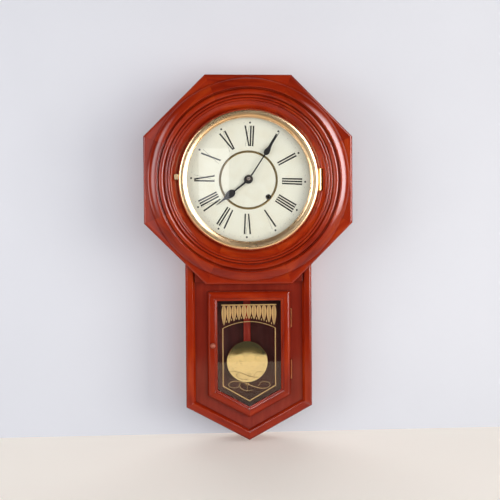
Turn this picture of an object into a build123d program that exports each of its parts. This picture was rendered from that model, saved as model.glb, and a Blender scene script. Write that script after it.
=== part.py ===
"""Octagon-head pendulum wall clock, built piece by piece in millimetres.

X is right, -Y faces the viewer, Z is up, and the wall is the plane Y = 0.
The origin is the hole of the hanger plate. Most pieces are drawn about the
hand arbor, which lies HANGER_RISE below it, and moved when they are written.
"""

import os
from math import asin, atan2, cos, degrees, hypot, radians, sin, sqrt

from build123d import *

os.makedirs("parts", exist_ok=True)

# Driving sizes of the case
HEAD_FLATS = 406.0
HEAD_LAP = 53.0
HEAD_THICK = 21.0
TRUNK_WIDTH = 249.0
TRUNK_DROP = 243.0
TRUNK_POINT = 67.5
HANGER_DROP = 35.0
CASE_DEPTH = 68.0
PANEL_THICK = 8.0
BOARD = 12.0
BACK_THICK = 6.0
MOULDING_WIDTH = 18.6
MOULDING_THICK = 8.0

# Driving sizes of the dial, bezel and hands
LEDGE_THICK = 5.0
DIAL_THICK = 1.0
SEAT_RISE = 14.0
REBATE_R = 131.5
LEDGE_WIDTH = 13.5
BEZEL_LAP = 5.5
BEZEL_WIDTH = 17.0
DOME_RISE = 11.4
HAND_GAP = 8.0
HOUR_LENGTH = 80.0
MINUTE_REST = 33.3
HOUR_REST = 232.1
RING_INNER_R = 53.2
RING_WIDTH = 4.4
RING_RISE = 1.0
WIND_HOLE_R = 5.4

# Driving sizes of the door
DOOR_WIDTH = 162.4
DOOR_DROP = 15.0
DOOR_RISE = 23.0
DOOR_RAIL = 18.6
DOOR_GAP = 0.5
DOOR_THICK = 13.5
DOOR_OVERLAP = 14.0
GLASS_DEEP = 7.0
GLASS_THICK = 2.0
KNOB_DROP = 2.5
HINGE_SPREAD = 51.0
HINGE_TALL = 36.0
CATCH_DROP = 25.5

# Driving sizes of the movement
PLATE_THICK = 2.0
BACK_PLATE_Y = -28.0
PLATE_SPACE = 40.0
PLATE_X = (-54.0, 76.0)
PLATE_Z = (-82.0, 68.0)
BARREL_AT = (38.9, -33.2)
VERGE_Z = 55.0
PENDULUM_Y = -18.0
ROD_WIDTH = 14.0
ROD_THICK = 5.0
BOB_DROP = 46.0
BOB_R = 42.5
BOB_DEEP = 16.0
BOB_TRAVEL = 5.0
FIT = 0.05

# Depths, from the wall forward
PANEL_BACK_Y = -CASE_DEPTH
PANEL_FRONT_Y = PANEL_BACK_Y - PANEL_THICK
HEAD_BACK_Y = PANEL_FRONT_Y - MOULDING_THICK
RIM_Y = HEAD_BACK_Y - HEAD_THICK
LEDGE_Y = HEAD_BACK_Y - LEDGE_THICK
DIAL_Y = LEDGE_Y - DIAL_THICK
SEAT_Y = HEAD_BACK_Y - SEAT_RISE
DOOR_BACK_Y = PANEL_FRONT_Y - DOOR_GAP
BACK_INNER_Y = BACK_PLATE_Y - PLATE_THICK
FRONT_PLATE_Y = BACK_INNER_Y - PLATE_SPACE
FRONT_FACE_Y = FRONT_PLATE_Y - PLATE_THICK

# Heights and radii, from the hand arbor
HEAD_FOOT_Z = -HEAD_FLATS / 2
BOX_TOP_Z = HEAD_FLATS / 2 - HEAD_LAP
HANGER_RISE = BOX_TOP_Z - HANGER_DROP
PANEL_TOP_Z = HEAD_FOOT_Z + HEAD_LAP
TRUNK_CORNER_Z = HEAD_FOOT_Z - TRUNK_DROP
TRUNK_TIP_Z = TRUNK_CORNER_Z - TRUNK_POINT
HALF = TRUNK_WIDTH / 2
SLOPE = TRUNK_POINT / HALF
DOOR_HALF = DOOR_WIDTH / 2
DOOR_TOP_Z = HEAD_FOOT_Z - DOOR_DROP
DOOR_CORNER_Z = TRUNK_CORNER_Z + DOOR_RISE
DOOR_MIDDLE_Z = (DOOR_TOP_Z + DOOR_CORNER_Z) / 2
KNOB_Z = DOOR_MIDDLE_Z - KNOB_DROP
HINGE_Z = (KNOB_Z + HINGE_SPREAD, KNOB_Z - HINGE_SPREAD)
CATCH_Z = DOOR_MIDDLE_Z - CATCH_DROP
BOB_Z = DOOR_MIDDLE_Z - BOB_DROP
OPENING_R = REBATE_R - LEDGE_WIDTH
BEZEL_R = REBATE_R + BEZEL_LAP
SIGHT_R = BEZEL_R - BEZEL_WIDTH
MINUTE_LENGTH = SIGHT_R - HAND_GAP
BEZEL_HINGE_X = BEZEL_R + 2.5


def write(name, *solids):
    """Write one node, moved from the hand arbor's frame to the hanger's."""
    pieces = []
    for solid in solids:
        pieces.extend((Pos(0, 0, -HANGER_RISE) * solid).solids())
    shape = pieces[0] if len(pieces) == 1 else Compound(children=pieces)
    export_step(shape, f"parts/{name}.step")


def cyl(radius, y_back, y_front, x=0.0, z=0.0):
    """Cylinder along Y between two depths."""
    middle = Pos(x, (y_back + y_front) / 2, z)
    return middle * Rot(90, 0, 0) * Cylinder(radius, y_back - y_front)


def post(radius, z_low, z_high, x, y):
    """Cylinder along Z between two heights."""
    return Pos(x, y, (z_low + z_high) / 2) * Cylinder(radius, z_high - z_low)


def block(x0, x1, y_back, y_front, z0, z1):
    """Box between two corners."""
    middle = Pos((x0 + x1) / 2, (y_back + y_front) / 2, (z0 + z1) / 2)
    return middle * Box(x1 - x0, y_back - y_front, z1 - z0)


def raise_face(face, y_back, y_front):
    """Extrude a flat XZ shape from one depth forward to another."""
    plane = Plane(origin=(0, y_back, 0), x_dir=(1, 0, 0), z_dir=(0, -1, 0))
    return extrude(plane * face, amount=y_back - y_front, dir=(0, -1, 0))


def sheet(outline, y_back, y_front, holes=()):
    """Flat piece parallel to the wall; holes are (x, z, radius)."""
    face = make_face(Polyline(*outline, close=True))
    for x, z, radius in holes:
        face -= Pos(x, z) * Circle(radius)
    return raise_face(face, y_back, y_front)


def profile(start, steps):
    """Closed face from lines (a point) and arcs (a pair: through, end)."""
    edges = []
    here = start
    for step in [*steps, start]:
        if isinstance(step[0], tuple):
            edges.append(ThreePointArc(here, step[0], step[1]))
            here = step[1]
        elif step != here:
            edges.append(Line(here, step))
            here = step
    return make_face(edges)


def turned(start, steps, x=0.0, z=0.0, angle=360.0):
    """Solid of revolution about an arbor along Y; points are (radius, y)."""
    return Pos(x, 0, z) * revolve(profile(start, steps), Axis.Y, angle)


def around(x, z, radius, angle):
    """Point at an angle, counter-clockwise from +X as the viewer sees it."""
    return (x + radius * cos(radians(angle)), z + radius * sin(radians(angle)))


def inset(outline, amount):
    """Move every edge of a counter-clockwise outline inward."""
    count = len(outline)
    result = []
    for i in range(count):
        before, here, after = outline[i - 1], outline[i], outline[(i + 1) % count]
        first = unit(before, here)
        second = unit(here, after)
        normal_a = (-first[1], first[0])
        normal_b = (-second[1], second[0])
        share = 1 + normal_a[0] * normal_b[0] + normal_a[1] * normal_b[1]
        x = here[0] + amount * (normal_a[0] + normal_b[0]) / share
        z = here[1] + amount * (normal_a[1] + normal_b[1]) / share
        result.append((x, z))
    return result


def unit(a, b):
    """Unit vector from one XZ point to another."""
    length = hypot(b[0] - a[0], b[1] - a[1])
    return ((b[0] - a[0]) / length, (b[1] - a[1]) / length)


def members(outline, section, closed):
    """Mitred lengths of one section round an outline taken counter-clockwise.

    Section points are (inward from the edge, forward of the wall).
    """
    count = len(outline)
    solids = []
    for i in range(count if closed else count - 1):
        a, b = outline[i], outline[(i + 1) % count]
        along = unit(a, b)
        inward = (-along[1], along[0])
        has_before = closed or i > 0
        has_after = closed or i < count - 2
        spare = 80.0
        begin = spare if has_before else 0.0
        extra = begin + (spare if has_after else 0.0)
        origin = (a[0] - along[0] * begin, 0, a[1] - along[1] * begin)
        plane = Plane(
            origin=origin,
            x_dir=(inward[0], 0, inward[1]),
            z_dir=(along[0], 0, along[1]),
        )
        length = hypot(b[0] - a[0], b[1] - a[1]) + extra
        solid = extrude(
            plane * section, amount=length, dir=(along[0], 0, along[1])
        )
        if has_before:
            solid -= mitre(a, unit(outline[i - 1], a), along, -1)
        if has_after:
            solid -= mitre(b, along, unit(b, outline[(i + 2) % count]), 1)
        solids.append(solid)
    return solids


def mitre(corner, first, second, side):
    """Block that removes what lies past a corner's bisecting plane."""
    mean = (first[0] + second[0], first[1] + second[1])
    length = hypot(*mean)
    normal = (side * mean[0] / length, 0, side * mean[1] / length)
    plane = Plane(origin=(corner[0], 0, corner[1]), x_dir=(0, 1, 0), z_dir=normal)
    return extrude(plane * Rectangle(600, 600), amount=400, dir=normal)


def teeth(count, root, tip, root_share, tip_share, phase):
    """Straight-flanked teeth about (0, 0); shares are of the tooth pitch."""
    pitch = 360.0 / count
    points = []
    for i in range(count):
        middle = phase + i * pitch
        points.append(around(0, 0, root, middle - root_share * pitch / 2))
        points.append(around(0, 0, tip, middle - tip_share * pitch / 2))
        points.append(around(0, 0, tip, middle + tip_share * pitch / 2))
        points.append(around(0, 0, root, middle + root_share * pitch / 2))
    return make_face(Polyline(*points, close=True))


def wheel_face(count, module, phase, bore, arms=0):
    """Wheel with light arms left between windows."""
    pitch_r = count * module / 2
    face = teeth(
        count, pitch_r - 1.15 * module, pitch_r + 0.85 * module, 0.6, 0.2, phase
    )
    face -= Circle(bore)
    if arms:
        inner = max(bore + 2.2, 0.26 * pitch_r)
        outer = pitch_r - 2.9 * module
        gap = 360.0 / arms
        lean_in = degrees(asin(min(0.9, 0.055 * pitch_r / inner)))
        lean_out = degrees(asin(0.055 * pitch_r / outer))
        for i in range(arms):
            low, high = i * gap, (i + 1) * gap
            middle = (low + high) / 2
            face -= profile(
                around(0, 0, inner, low + lean_in),
                [
                    around(0, 0, outer, low + lean_out),
                    (around(0, 0, outer, middle), around(0, 0, outer, high - lean_out)),
                    around(0, 0, inner, high - lean_in),
                    (around(0, 0, inner, middle), around(0, 0, inner, low + lean_in)),
                ],
            )
    return face


def pinion_face(count, module, phase):
    """Pinion of thin leaves."""
    pitch_r = count * module / 2
    return teeth(
        count, pitch_r - 1.3 * module, pitch_r + 0.7 * module, 0.42, 0.14, phase
    )


def mesh_phase(own_at, own_count, other_at, other_count, other_phase):
    """Phase that puts a gap where the other wheel has a tooth."""
    line = degrees(atan2(own_at[1] - other_at[1], own_at[0] - other_at[0]))
    share = ((other_phase - line) / (360.0 / other_count)) % 1.0
    pitch = 360.0 / own_count
    return line + 180.0 - share * pitch + pitch / 2


def crossing(a, radius_a, b, radius_b, side):
    """Meeting point of two circles, left (+1) or right (-1) of a to b."""
    span = hypot(b[0] - a[0], b[1] - a[1])
    along = (radius_a**2 - radius_b**2 + span**2) / (2 * span)
    off = sqrt(radius_a**2 - along**2)
    ux, uz = unit(a, b)
    return (a[0] + ux * along - side * uz * off, a[1] + uz * along + side * ux * off)


def at(point, solid):
    """Move a piece drawn about (0, 0) to an arbor."""
    return Pos(point[0], 0, point[1]) * solid


def wood_screw(x, z, y_head, head_r, shank_r, length, way):
    """Slotted countersunk screw along Y; way is the sign it points in."""
    y_end = y_head + way * length
    y_neck = y_head + way * (head_r - shank_r)
    y_tip = y_head + way * (length - 2 * shank_r)
    steps = [(head_r, y_head), (shank_r, y_neck), (shank_r, y_tip), (0.0, y_end)]
    body = turned((0.0, y_head), steps, x, z)
    slot = Pos(x, y_head, z) * Box(2 * head_r, 0.9, 0.7)
    return body - slot


def screw_hole(x, z, y_head, head_r, shank_r, length, way):
    """Space for a wood screw, a running fit larger all round."""
    y_neck = y_head + way * (head_r - shank_r)
    y_end = y_head + way * (length + 0.3)
    wide = head_r + FIT
    steps = [(wide, y_head), (shank_r + FIT, y_neck), (shank_r + FIT, y_end), (0.0, y_end)]
    return turned((0.0, y_head), steps, x, z)


# Case outlines, taken counter-clockwise as the viewer sees them
BOX_OUTLINE = [
    (-HALF, BOX_TOP_Z),
    (-HALF, TRUNK_CORNER_Z),
    (0.0, TRUNK_TIP_Z),
    (HALF, TRUNK_CORNER_Z),
    (HALF, BOX_TOP_Z),
]
TRUNK_OUTLINE = [
    (-HALF, PANEL_TOP_Z),
    (-HALF, TRUNK_CORNER_Z),
    (0.0, TRUNK_TIP_Z),
    (HALF, TRUNK_CORNER_Z),
    (HALF, PANEL_TOP_Z),
]
DOOR_OUTLINE = [
    (-DOOR_HALF, DOOR_TOP_Z),
    (-DOOR_HALF, DOOR_CORNER_Z),
    (0.0, DOOR_CORNER_Z - DOOR_HALF * SLOPE),
    (DOOR_HALF, DOOR_CORNER_Z),
    (DOOR_HALF, DOOR_TOP_Z),
]

# Movement positions
BARREL_TEETH, BARREL_MODULE = 72, 0.9
FIRST_PINION = 8
FIRST_TEETH, FIRST_MODULE = 60, 0.7
CENTRE_PINION = 6
CENTRE_TEETH, CENTRE_MODULE = 64, 0.6
THIRD_PINION = 8
THIRD_TEETH, THIRD_MODULE = 60, 0.5
ESCAPE_PINION = 6
ESCAPE_TEETH = 35
ESCAPE_R = 14.5
PALLET_ANGLE = 5.25 * 360.0 / ESCAPE_TEETH
CANNON_LEAVES, CANNON_MODULE = 12, 0.75
MINUTE_TEETH = 36
MINUTE_PINION, HOUR_MODULE = 10, 0.72
HOUR_TEETH = 40

CENTRE_AT = (0.0, 0.0)
VERGE_AT = (0.0, VERGE_Z)
ESCAPE_AT = (0.0, VERGE_Z - ESCAPE_R / cos(radians(PALLET_ANGLE)))
FIRST_AT = crossing(
    CENTRE_AT,
    (FIRST_TEETH + CENTRE_PINION) * FIRST_MODULE / 2,
    BARREL_AT,
    (BARREL_TEETH + FIRST_PINION) * BARREL_MODULE / 2,
    -1,
)
THIRD_AT = crossing(
    CENTRE_AT,
    (CENTRE_TEETH + THIRD_PINION) * CENTRE_MODULE / 2,
    ESCAPE_AT,
    (THIRD_TEETH + ESCAPE_PINION) * THIRD_MODULE / 2,
    1,
)
MOTION_AT = (-(CANNON_LEAVES + MINUTE_TEETH) * CANNON_MODULE / 2, 0.0)
PILLARS_AT = [(-44.0, 58.0), (66.0, 58.0), (-44.0, -66.0), (66.0, -72.0)]
CLICK_LEAN = 56.0
CLICK_AT = around(*BARREL_AT, 15.4, 285.0 + CLICK_LEAN)

CASE_SCREW = (3.4, 1.6, 15.0)
SMALL_SCREW = (1.6, 0.9, 5.0)
ARBOR_R = 1.1
PIVOT_R = 0.8
LIFT_R = 3.0
SHAFT_R = 1.7


def build_case():
    """Boards, panels, mouldings and the octagon head."""
    hanger = [(-11.0, HANGER_RISE - 17), (11.0, HANGER_RISE - 17), (0.0, HANGER_RISE + 22)]
    first_z = BOX_TOP_Z - 30
    last_z = TRUNK_CORNER_Z + 36
    edge_screws = []
    for side in (-1, 1):
        for i in range(4):
            z = first_z + (last_z - first_z) * i / 3
            edge_screws.append((side * (HALF - BOARD / 2), z))
        edge_screws.append((side * HALF / 2, BOX_TOP_Z - BOARD / 2))
        floor_z = TRUNK_CORNER_Z - TRUNK_POINT / 2 + BOARD / 2 / cos(atan2(SLOPE, 1))
        edge_screws.append((side * HALF / 2, floor_z))
    all_screws = edge_screws + PILLARS_AT
    spec = (*CASE_SCREW, -1)

    holes = [screw_hole(x, z, 0.0, *spec) for x, z in all_screws]
    fixing = Part() + holes

    plan = inset(BOX_OUTLINE, 0.5)
    back = sheet(plan, 0.0, -BACK_THICK)
    recess = Pos(0, 0, HANGER_RISE + 2.5) * Box(34.0 + 2 * FIT, 3.0, 54.0 + 2 * FIT)
    back -= recess
    back -= cyl(7.5, 0.0, -BACK_THICK, 0.0, HANGER_RISE)
    back -= block(-5.0, 5.0, 0.0, -BACK_THICK, HANGER_RISE, HANGER_RISE + 16)
    for x, z in hanger:
        back -= screw_hole(x, z, 0.0, *SMALL_SCREW, -1)
    back -= fixing
    write("back_panel", back)

    plate = Pos(0, HANGER_RISE + 2.5) * RectangleRounded(34, 54, 5)
    plate -= Pos(0, HANGER_RISE) * Circle(5.0)
    plate -= Pos(0, HANGER_RISE + 7) * Rectangle(4.4, 14)
    plate -= Pos(0, HANGER_RISE + 14) * Circle(2.2)
    hanger_plate = raise_face(plate, 0.0, -1.5)
    for x, z in hanger:
        hanger_plate -= screw_hole(x, z, 0.0, *SMALL_SCREW, -1)
    write("hanger_plate", hanger_plate)
    write("case_screws", *[wood_screw(x, z, 0.0, *spec) for x, z in all_screws])

    depth = -PANEL_BACK_Y
    board = profile((0.0, BACK_THICK), [(BOARD, BACK_THICK), (BOARD, depth), (0.0, depth)])
    left, floor_left, floor_right, right = members(BOX_OUTLINE, board, False)
    head_part = block(-HALF, -HALF + BOARD, PANEL_BACK_Y, HEAD_BACK_Y, PANEL_TOP_Z, BOX_TOP_Z)
    left = left + head_part - fixing
    right = right + mirror(head_part, Plane.YZ) - fixing
    write("side_board_left", left)
    write("side_board_right", right)
    write("floor_boards", floor_left - fixing, floor_right - fixing)
    inner = HALF - BOARD
    top = block(-inner, inner, -BACK_THICK, HEAD_BACK_Y, BOX_TOP_Z - BOARD, BOX_TOP_Z)
    write("top_board", top - fixing)

    panel = sheet(TRUNK_OUTLINE, PANEL_BACK_Y, PANEL_FRONT_Y)
    panel -= sheet(inset(DOOR_OUTLINE, DOOR_OVERLAP), PANEL_BACK_Y, PANEL_FRONT_Y)
    cleat = HALF - MOULDING_WIDTH
    panel += block(-cleat, cleat, PANEL_FRONT_Y, HEAD_BACK_Y, HEAD_FOOT_Z + 4, PANEL_TOP_Z)
    panel -= cyl(4.0 + FIT, PANEL_BACK_Y, PANEL_FRONT_Y, -DOOR_HALF + 6.5, CATCH_Z)
    for z in HINGE_Z:
        low, high = z - HINGE_TALL / 2, z + HINGE_TALL / 2
        panel -= block(DOOR_HALF - 12, DOOR_HALF + 4, PANEL_FRONT_Y + 1, PANEL_FRONT_Y, low, high)
    write("front_panel", panel)

    y = -PANEL_FRONT_Y
    full = -HEAD_BACK_Y
    wide = MOULDING_WIDTH
    section = profile(
        (0.0, y),
        [
            (wide, y),
            (wide, full - 5.5),
            ((wide - 1.6, full - 3.2), (wide - 4.0, full)),
            (5.5, full),
            ((1.6, full - 1.6), (0.0, full - 5.5)),
        ],
    )
    left, foot_left, foot_right, right = members(TRUNK_OUTLINE, section, False)
    write("side_moulding_left", left)
    write("side_moulding_right", right)
    write("floor_mouldings", foot_left, foot_right)
    return hanger


def build_head(hanger):
    """Eight mitred segments of the octagon, with dial ledge and hinge pocket."""
    far = HEAD_FLATS / 2 / cos(radians(22.5)) + 2
    rim = RIM_Y
    foot = BEZEL_R + 1.8
    spread = HEAD_FLATS / 2 - 5.4 - foot

    def ring(share, height):
        """Point of the turned face: share of the way out, height above the rim."""
        return (foot + share * spread, rim - height)

    section_start = (OPENING_R, HEAD_BACK_Y)
    section_steps = [
        (far, HEAD_BACK_Y),
        (far, rim),
        ring(1.0, 0.0),
        ring(0.995, 0.3),
        (ring(0.962, 3.76), ring(0.913, 6.45)),
        (ring(0.815, 9.68), ring(0.709, 11.92)),
        (ring(0.680, 11.74), ring(0.660, 10.4)),
        ring(0.653, 7.0),
        ring(0.636, 6.6),
        ring(0.622, 6.4),
        (ring(0.527, 10.0), ring(0.435, 6.2)),
        ring(0.427, 4.6),
        ring(0.413, 4.5),
        (ring(0.371, 6.5), ring(0.330, 4.3)),
        ring(0.323, 4.1),
        (ring(0.282, 5.8), ring(0.243, 3.6)),
        ring(0.235, 2.6),
        ring(0.223, 2.8),
        (ring(0.097, -3.6), (foot, SEAT_Y)),
        (REBATE_R, SEAT_Y),
        (REBATE_R, LEDGE_Y),
        (OPENING_R, LEDGE_Y),
    ]
    wedge = turned(section_start, section_steps, angle=45)
    wedge = Rot(0, -22.5, 0) * wedge
    wedge &= block(0, HEAD_FLATS / 2, HEAD_BACK_Y, RIM_Y - 40, -far, far)
    flat_edges = [
        e
        for e in wedge.edges()
        if abs(e.center().X - HEAD_FLATS / 2) < 0.01 and abs(e.center().Y - RIM_Y) < 0.01
    ]
    wedge = fillet(flat_edges, 4.6)
    screw_r = OPENING_R + 7.2
    dial_screws = [around(0, 0, screw_r, a) for a in (45, 135, 225, 315)]
    pocket_y = SEAT_Y + 3.0
    hinge_screws = [(BEZEL_HINGE_X + 3.1, z) for z in (-14.0, 14.0)]
    segments = []
    for i in range(8):
        segment = Rot(0, 45 * i, 0) * wedge
        if i == 0:
            segment -= block(REBATE_R, BEZEL_HINGE_X + 5.5, pocket_y, RIM_Y - 20, -21.3, 21.3)
            for x, z in hinge_screws:
                segment -= screw_hole(x, z, pocket_y - 1.0, *SMALL_SCREW, 1)
        if i % 2:
            for x, z in dial_screws:
                segment -= screw_hole(x, z, DIAL_Y, *SMALL_SCREW, 1)
        segments.append(segment)
    write("octagon_frame", *segments)

    dial_holes = [(0, 0, 6.2), (*BARREL_AT, WIND_HOLE_R)]
    dial = raise_face(Circle(REBATE_R - 0.3), LEDGE_Y, DIAL_Y)
    for x, z, radius in dial_holes:
        dial -= cyl(radius, LEDGE_Y, DIAL_Y, x, z)
    for x, z in dial_screws:
        dial -= screw_hole(x, z, DIAL_Y, *SMALL_SCREW, 1)
    write("dial_plate", dial)
    middle = RING_INNER_R + RING_WIDTH / 2
    gilt = turned(
        (RING_INNER_R, DIAL_Y),
        [((middle, DIAL_Y - RING_RISE), (RING_INNER_R + RING_WIDTH, DIAL_Y))],
    )
    write("dial_centre_ring", gilt - cyl(WIND_HOLE_R, DIAL_Y, DIAL_Y - 3.0, *BARREL_AT))
    screws = [wood_screw(x, z, DIAL_Y, *SMALL_SCREW, 1) for x, z in dial_screws]
    screws += [wood_screw(x, z, pocket_y - 1.0, *SMALL_SCREW, 1) for x, z in hinge_screws]
    screws += [wood_screw(x, z, 0.0, *SMALL_SCREW, -1) for x, z in hanger]
    write("small_screws", *screws)


def build_bezel():
    """Spun brass bezel, domed glass, its retaining ring and hinge."""
    y = SEAT_Y - 0.2
    r = BEZEL_R
    edge = r - 11.5
    bend = (edge**2 + DOME_RISE**2) / (2 * DOME_RISE)

    def dome(radius):
        """Height of the glass above its edge."""
        return DOME_RISE - bend + sqrt(bend**2 - radius**2)

    front = y - 3.0
    lip = front - dome(SIGHT_R) - 0.4
    section = turned(
        (r, y),
        [
            (r, y - 3.8),
            ((r - 1.76, y - 8.04), (r - 6.0, y - 9.8)),
            ((r - 9.03, y - 9.47), (r - 11.92, y - 8.49)),
            (SIGHT_R + 2.6, lip - 2.8),
            (SIGHT_R + 2.3, lip - 2.3),
            ((SIGHT_R + 1.2, lip - 2.3), (SIGHT_R, lip - 0.9)),
            (SIGHT_R, lip),
            (r - 10.0, y - 3.1),
            (r - 8.4, y - 4.2),
            ((r - 7.3, y - 6.7), (r - 5.5, y - 7.1)),
            ((r - 2.7, y - 5.3), (r - 1.2, y - 1.5)),
            (r - 1.2, y),
        ],
    )
    tab = Pos(-r - 2.2, 6.0) * RectangleRounded(9.6, 10.0, 2.4)
    tab = raise_face(tab, y - 5.4, y - 6.6)
    write("bezel_ring", section + (tab - cyl(r - 2.0, y, y - 8, 0, 0)))

    thick = GLASS_THICK
    half = edge / 2
    glass = turned(
        (0.0, front - DOME_RISE),
        [
            ((half, front - dome(half)), (edge, front)),
            (edge, front + thick),
            ((half, front + thick - dome(half)), (0.0, front + thick - DOME_RISE)),
        ],
    )
    write("bezel_glass", glass)
    keeper = turned(
        (SIGHT_R + 1.5, y),
        [
            (r - 8.7, y),
            (r - 8.7, y - 3.2),
            (r - 9.7, y - 2.9),
            (r - 9.7, y - 0.7),
            (edge + 0.5, y - 0.6),
            (SIGHT_R + 1.5, y - 1.3),
        ],
    )
    write("glass_retainer_ring", keeper)

    hx = BEZEL_HINGE_X
    hy = SEAT_Y - 2.6
    middle = 7.0
    wing = post(2.4, -middle, middle, hx, hy)
    wing += block(r, hx, hy + 0.9, hy - 0.4, -middle, middle)
    wing -= post(1.0 + FIT, -middle, middle, hx, hy)
    write("bezel_hinge_wing", wing)
    floor_y = SEAT_Y + 3.0
    leaf = block(hx - 4.5, hx + 5.3, floor_y, floor_y - 1.0, -21.0, 21.0)
    for low, high in ((middle + 0.3, 21.0), (-21.0, -middle - 0.3)):
        leaf += post(2.4, low, high, hx, hy)
        leaf += block(hx - 0.6, hx + 2.0, floor_y, hy, low, high)
    leaf -= post(1.0 + FIT, -21.0, 21.0, hx, hy)
    for z in (-14.0, 14.0):
        leaf -= screw_hole(hx + 3.1, z, floor_y - 1.0, *SMALL_SCREW, 1)
        leaf -= cyl(1.7, floor_y - 1.0, floor_y - 9.0, hx + 3.1, z)
    write("bezel_hinge_leaf", leaf)
    return post(1.0, -21.2, 21.2, hx, hy)


def build_door(bezel_pin):
    """Mitred door with glass, beads, knob, hinges and catch."""
    back = -DOOR_BACK_Y
    front = back + DOOR_THICK
    lip = back + GLASS_DEEP
    wide = DOOR_RAIL
    section = profile(
        (0.0, back),
        [
            (wide - 5.0, back),
            (wide - 5.0, lip),
            (wide, lip),
            (wide, lip + 2.2),
            ((wide - 0.7, lip + 3.4), (wide - 2.0, lip + 3.9)),
            ((wide - 4.2, lip + 4.6), (wide - 5.6, front)),
            (6.5, front),
            ((1.9, front - 1.9), (0.0, front - 6.5)),
        ],
    )
    rails = members(DOOR_OUTLINE, section, True)
    cuts = cyl(5.0 + FIT, DOOR_BACK_Y, DOOR_BACK_Y - 0.8, -DOOR_HALF + 6.5, CATCH_Z)
    cuts += cyl(2.2, DOOR_BACK_Y, DOOR_BACK_Y - DOOR_THICK, -DOOR_HALF + wide / 2, KNOB_Z)
    for z in HINGE_Z:
        low, high = z - HINGE_TALL / 2, z + HINGE_TALL / 2
        cuts += block(DOOR_HALF - 11.5, DOOR_HALF + 1, DOOR_BACK_Y, DOOR_BACK_Y - 1, low, high)
    write("door_frame", *[rail - cuts for rail in rails])

    glass_y = DOOR_BACK_Y - GLASS_DEEP
    pane = sheet(inset(DOOR_OUTLINE, wide - 4.7), glass_y + GLASS_THICK, glass_y)
    write("door_glass", pane)
    low = back + 0.6
    high = lip - GLASS_THICK
    bead = profile(
        (wide - 4.9, low),
        [(wide - 3.0, low), ((wide - 0.9, low + 1.5), (wide - 0.4, high)), (wide - 4.9, high)],
    )
    write("door_glass_beads", *members(DOOR_OUTLINE, bead, True))

    kx = -DOOR_HALF + wide / 2
    face = DOOR_BACK_Y - DOOR_THICK
    knob = turned(
        (0.0, face + 9.0),
        [
            (2.15, face + 9.0),
            (2.15, face),
            (3.8, face),
            (3.8, face - 0.7),
            (2.6, face - 1.3),
            (3.0, face - 2.0),
            ((5.0, face - 6.0), (0.0, face - 11.0)),
        ],
        kx,
        KNOB_Z,
    )
    write("door_knob", knob)

    hx = DOOR_HALF + 2.2
    hy = PANEL_FRONT_Y - 3.0
    barrel = 1.7
    third = HINGE_TALL / 6
    case_leaves, door_leaves, pins = [], [], [bezel_pin]
    for z in HINGE_Z:
        low, high = z - HINGE_TALL / 2, z + HINGE_TALL / 2
        leaf = block(DOOR_HALF - 11.9, hx + 1.4, PANEL_FRONT_Y + 1, PANEL_FRONT_Y, low, high)
        for a, b in ((low, z - third - 0.15), (z + third + 0.15, high)):
            leaf += post(barrel, a, b, hx, hy)
            leaf += block(hx - 1.2, hx + 1.4, PANEL_FRONT_Y + 1, hy, a, b)
        leaf -= post(0.8 + FIT, low, high, hx, hy)
        case_leaves.append(leaf)
        wing = block(DOOR_HALF - 11.4, DOOR_HALF, DOOR_BACK_Y, DOOR_BACK_Y - 1, low + 0.1, high - 0.1)
        wing += block(DOOR_HALF, hx, DOOR_BACK_Y, hy - 0.6, z - third + 0.15, z + third - 0.15)
        wing += post(barrel, z - third + 0.15, z + third - 0.15, hx, hy)
        wing -= post(0.8 + FIT, low, high, hx, hy)
        door_leaves.append(wing)
        pins.append(post(0.8, low - 0.6, high + 0.6, hx, hy))
    write("door_hinge_case_leaves", *case_leaves)
    write("door_hinge_door_leaves", *door_leaves)
    write("hinge_pins", *pins)
    catch_x = -DOOR_HALF + 6.5
    write("door_magnet_catch", cyl(4.0, PANEL_BACK_Y + 2, PANEL_FRONT_Y, catch_x, CATCH_Z))
    write("door_strike_plate", cyl(5.0, DOOR_BACK_Y, DOOR_BACK_Y - 0.8, catch_x, CATCH_Z))


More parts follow.
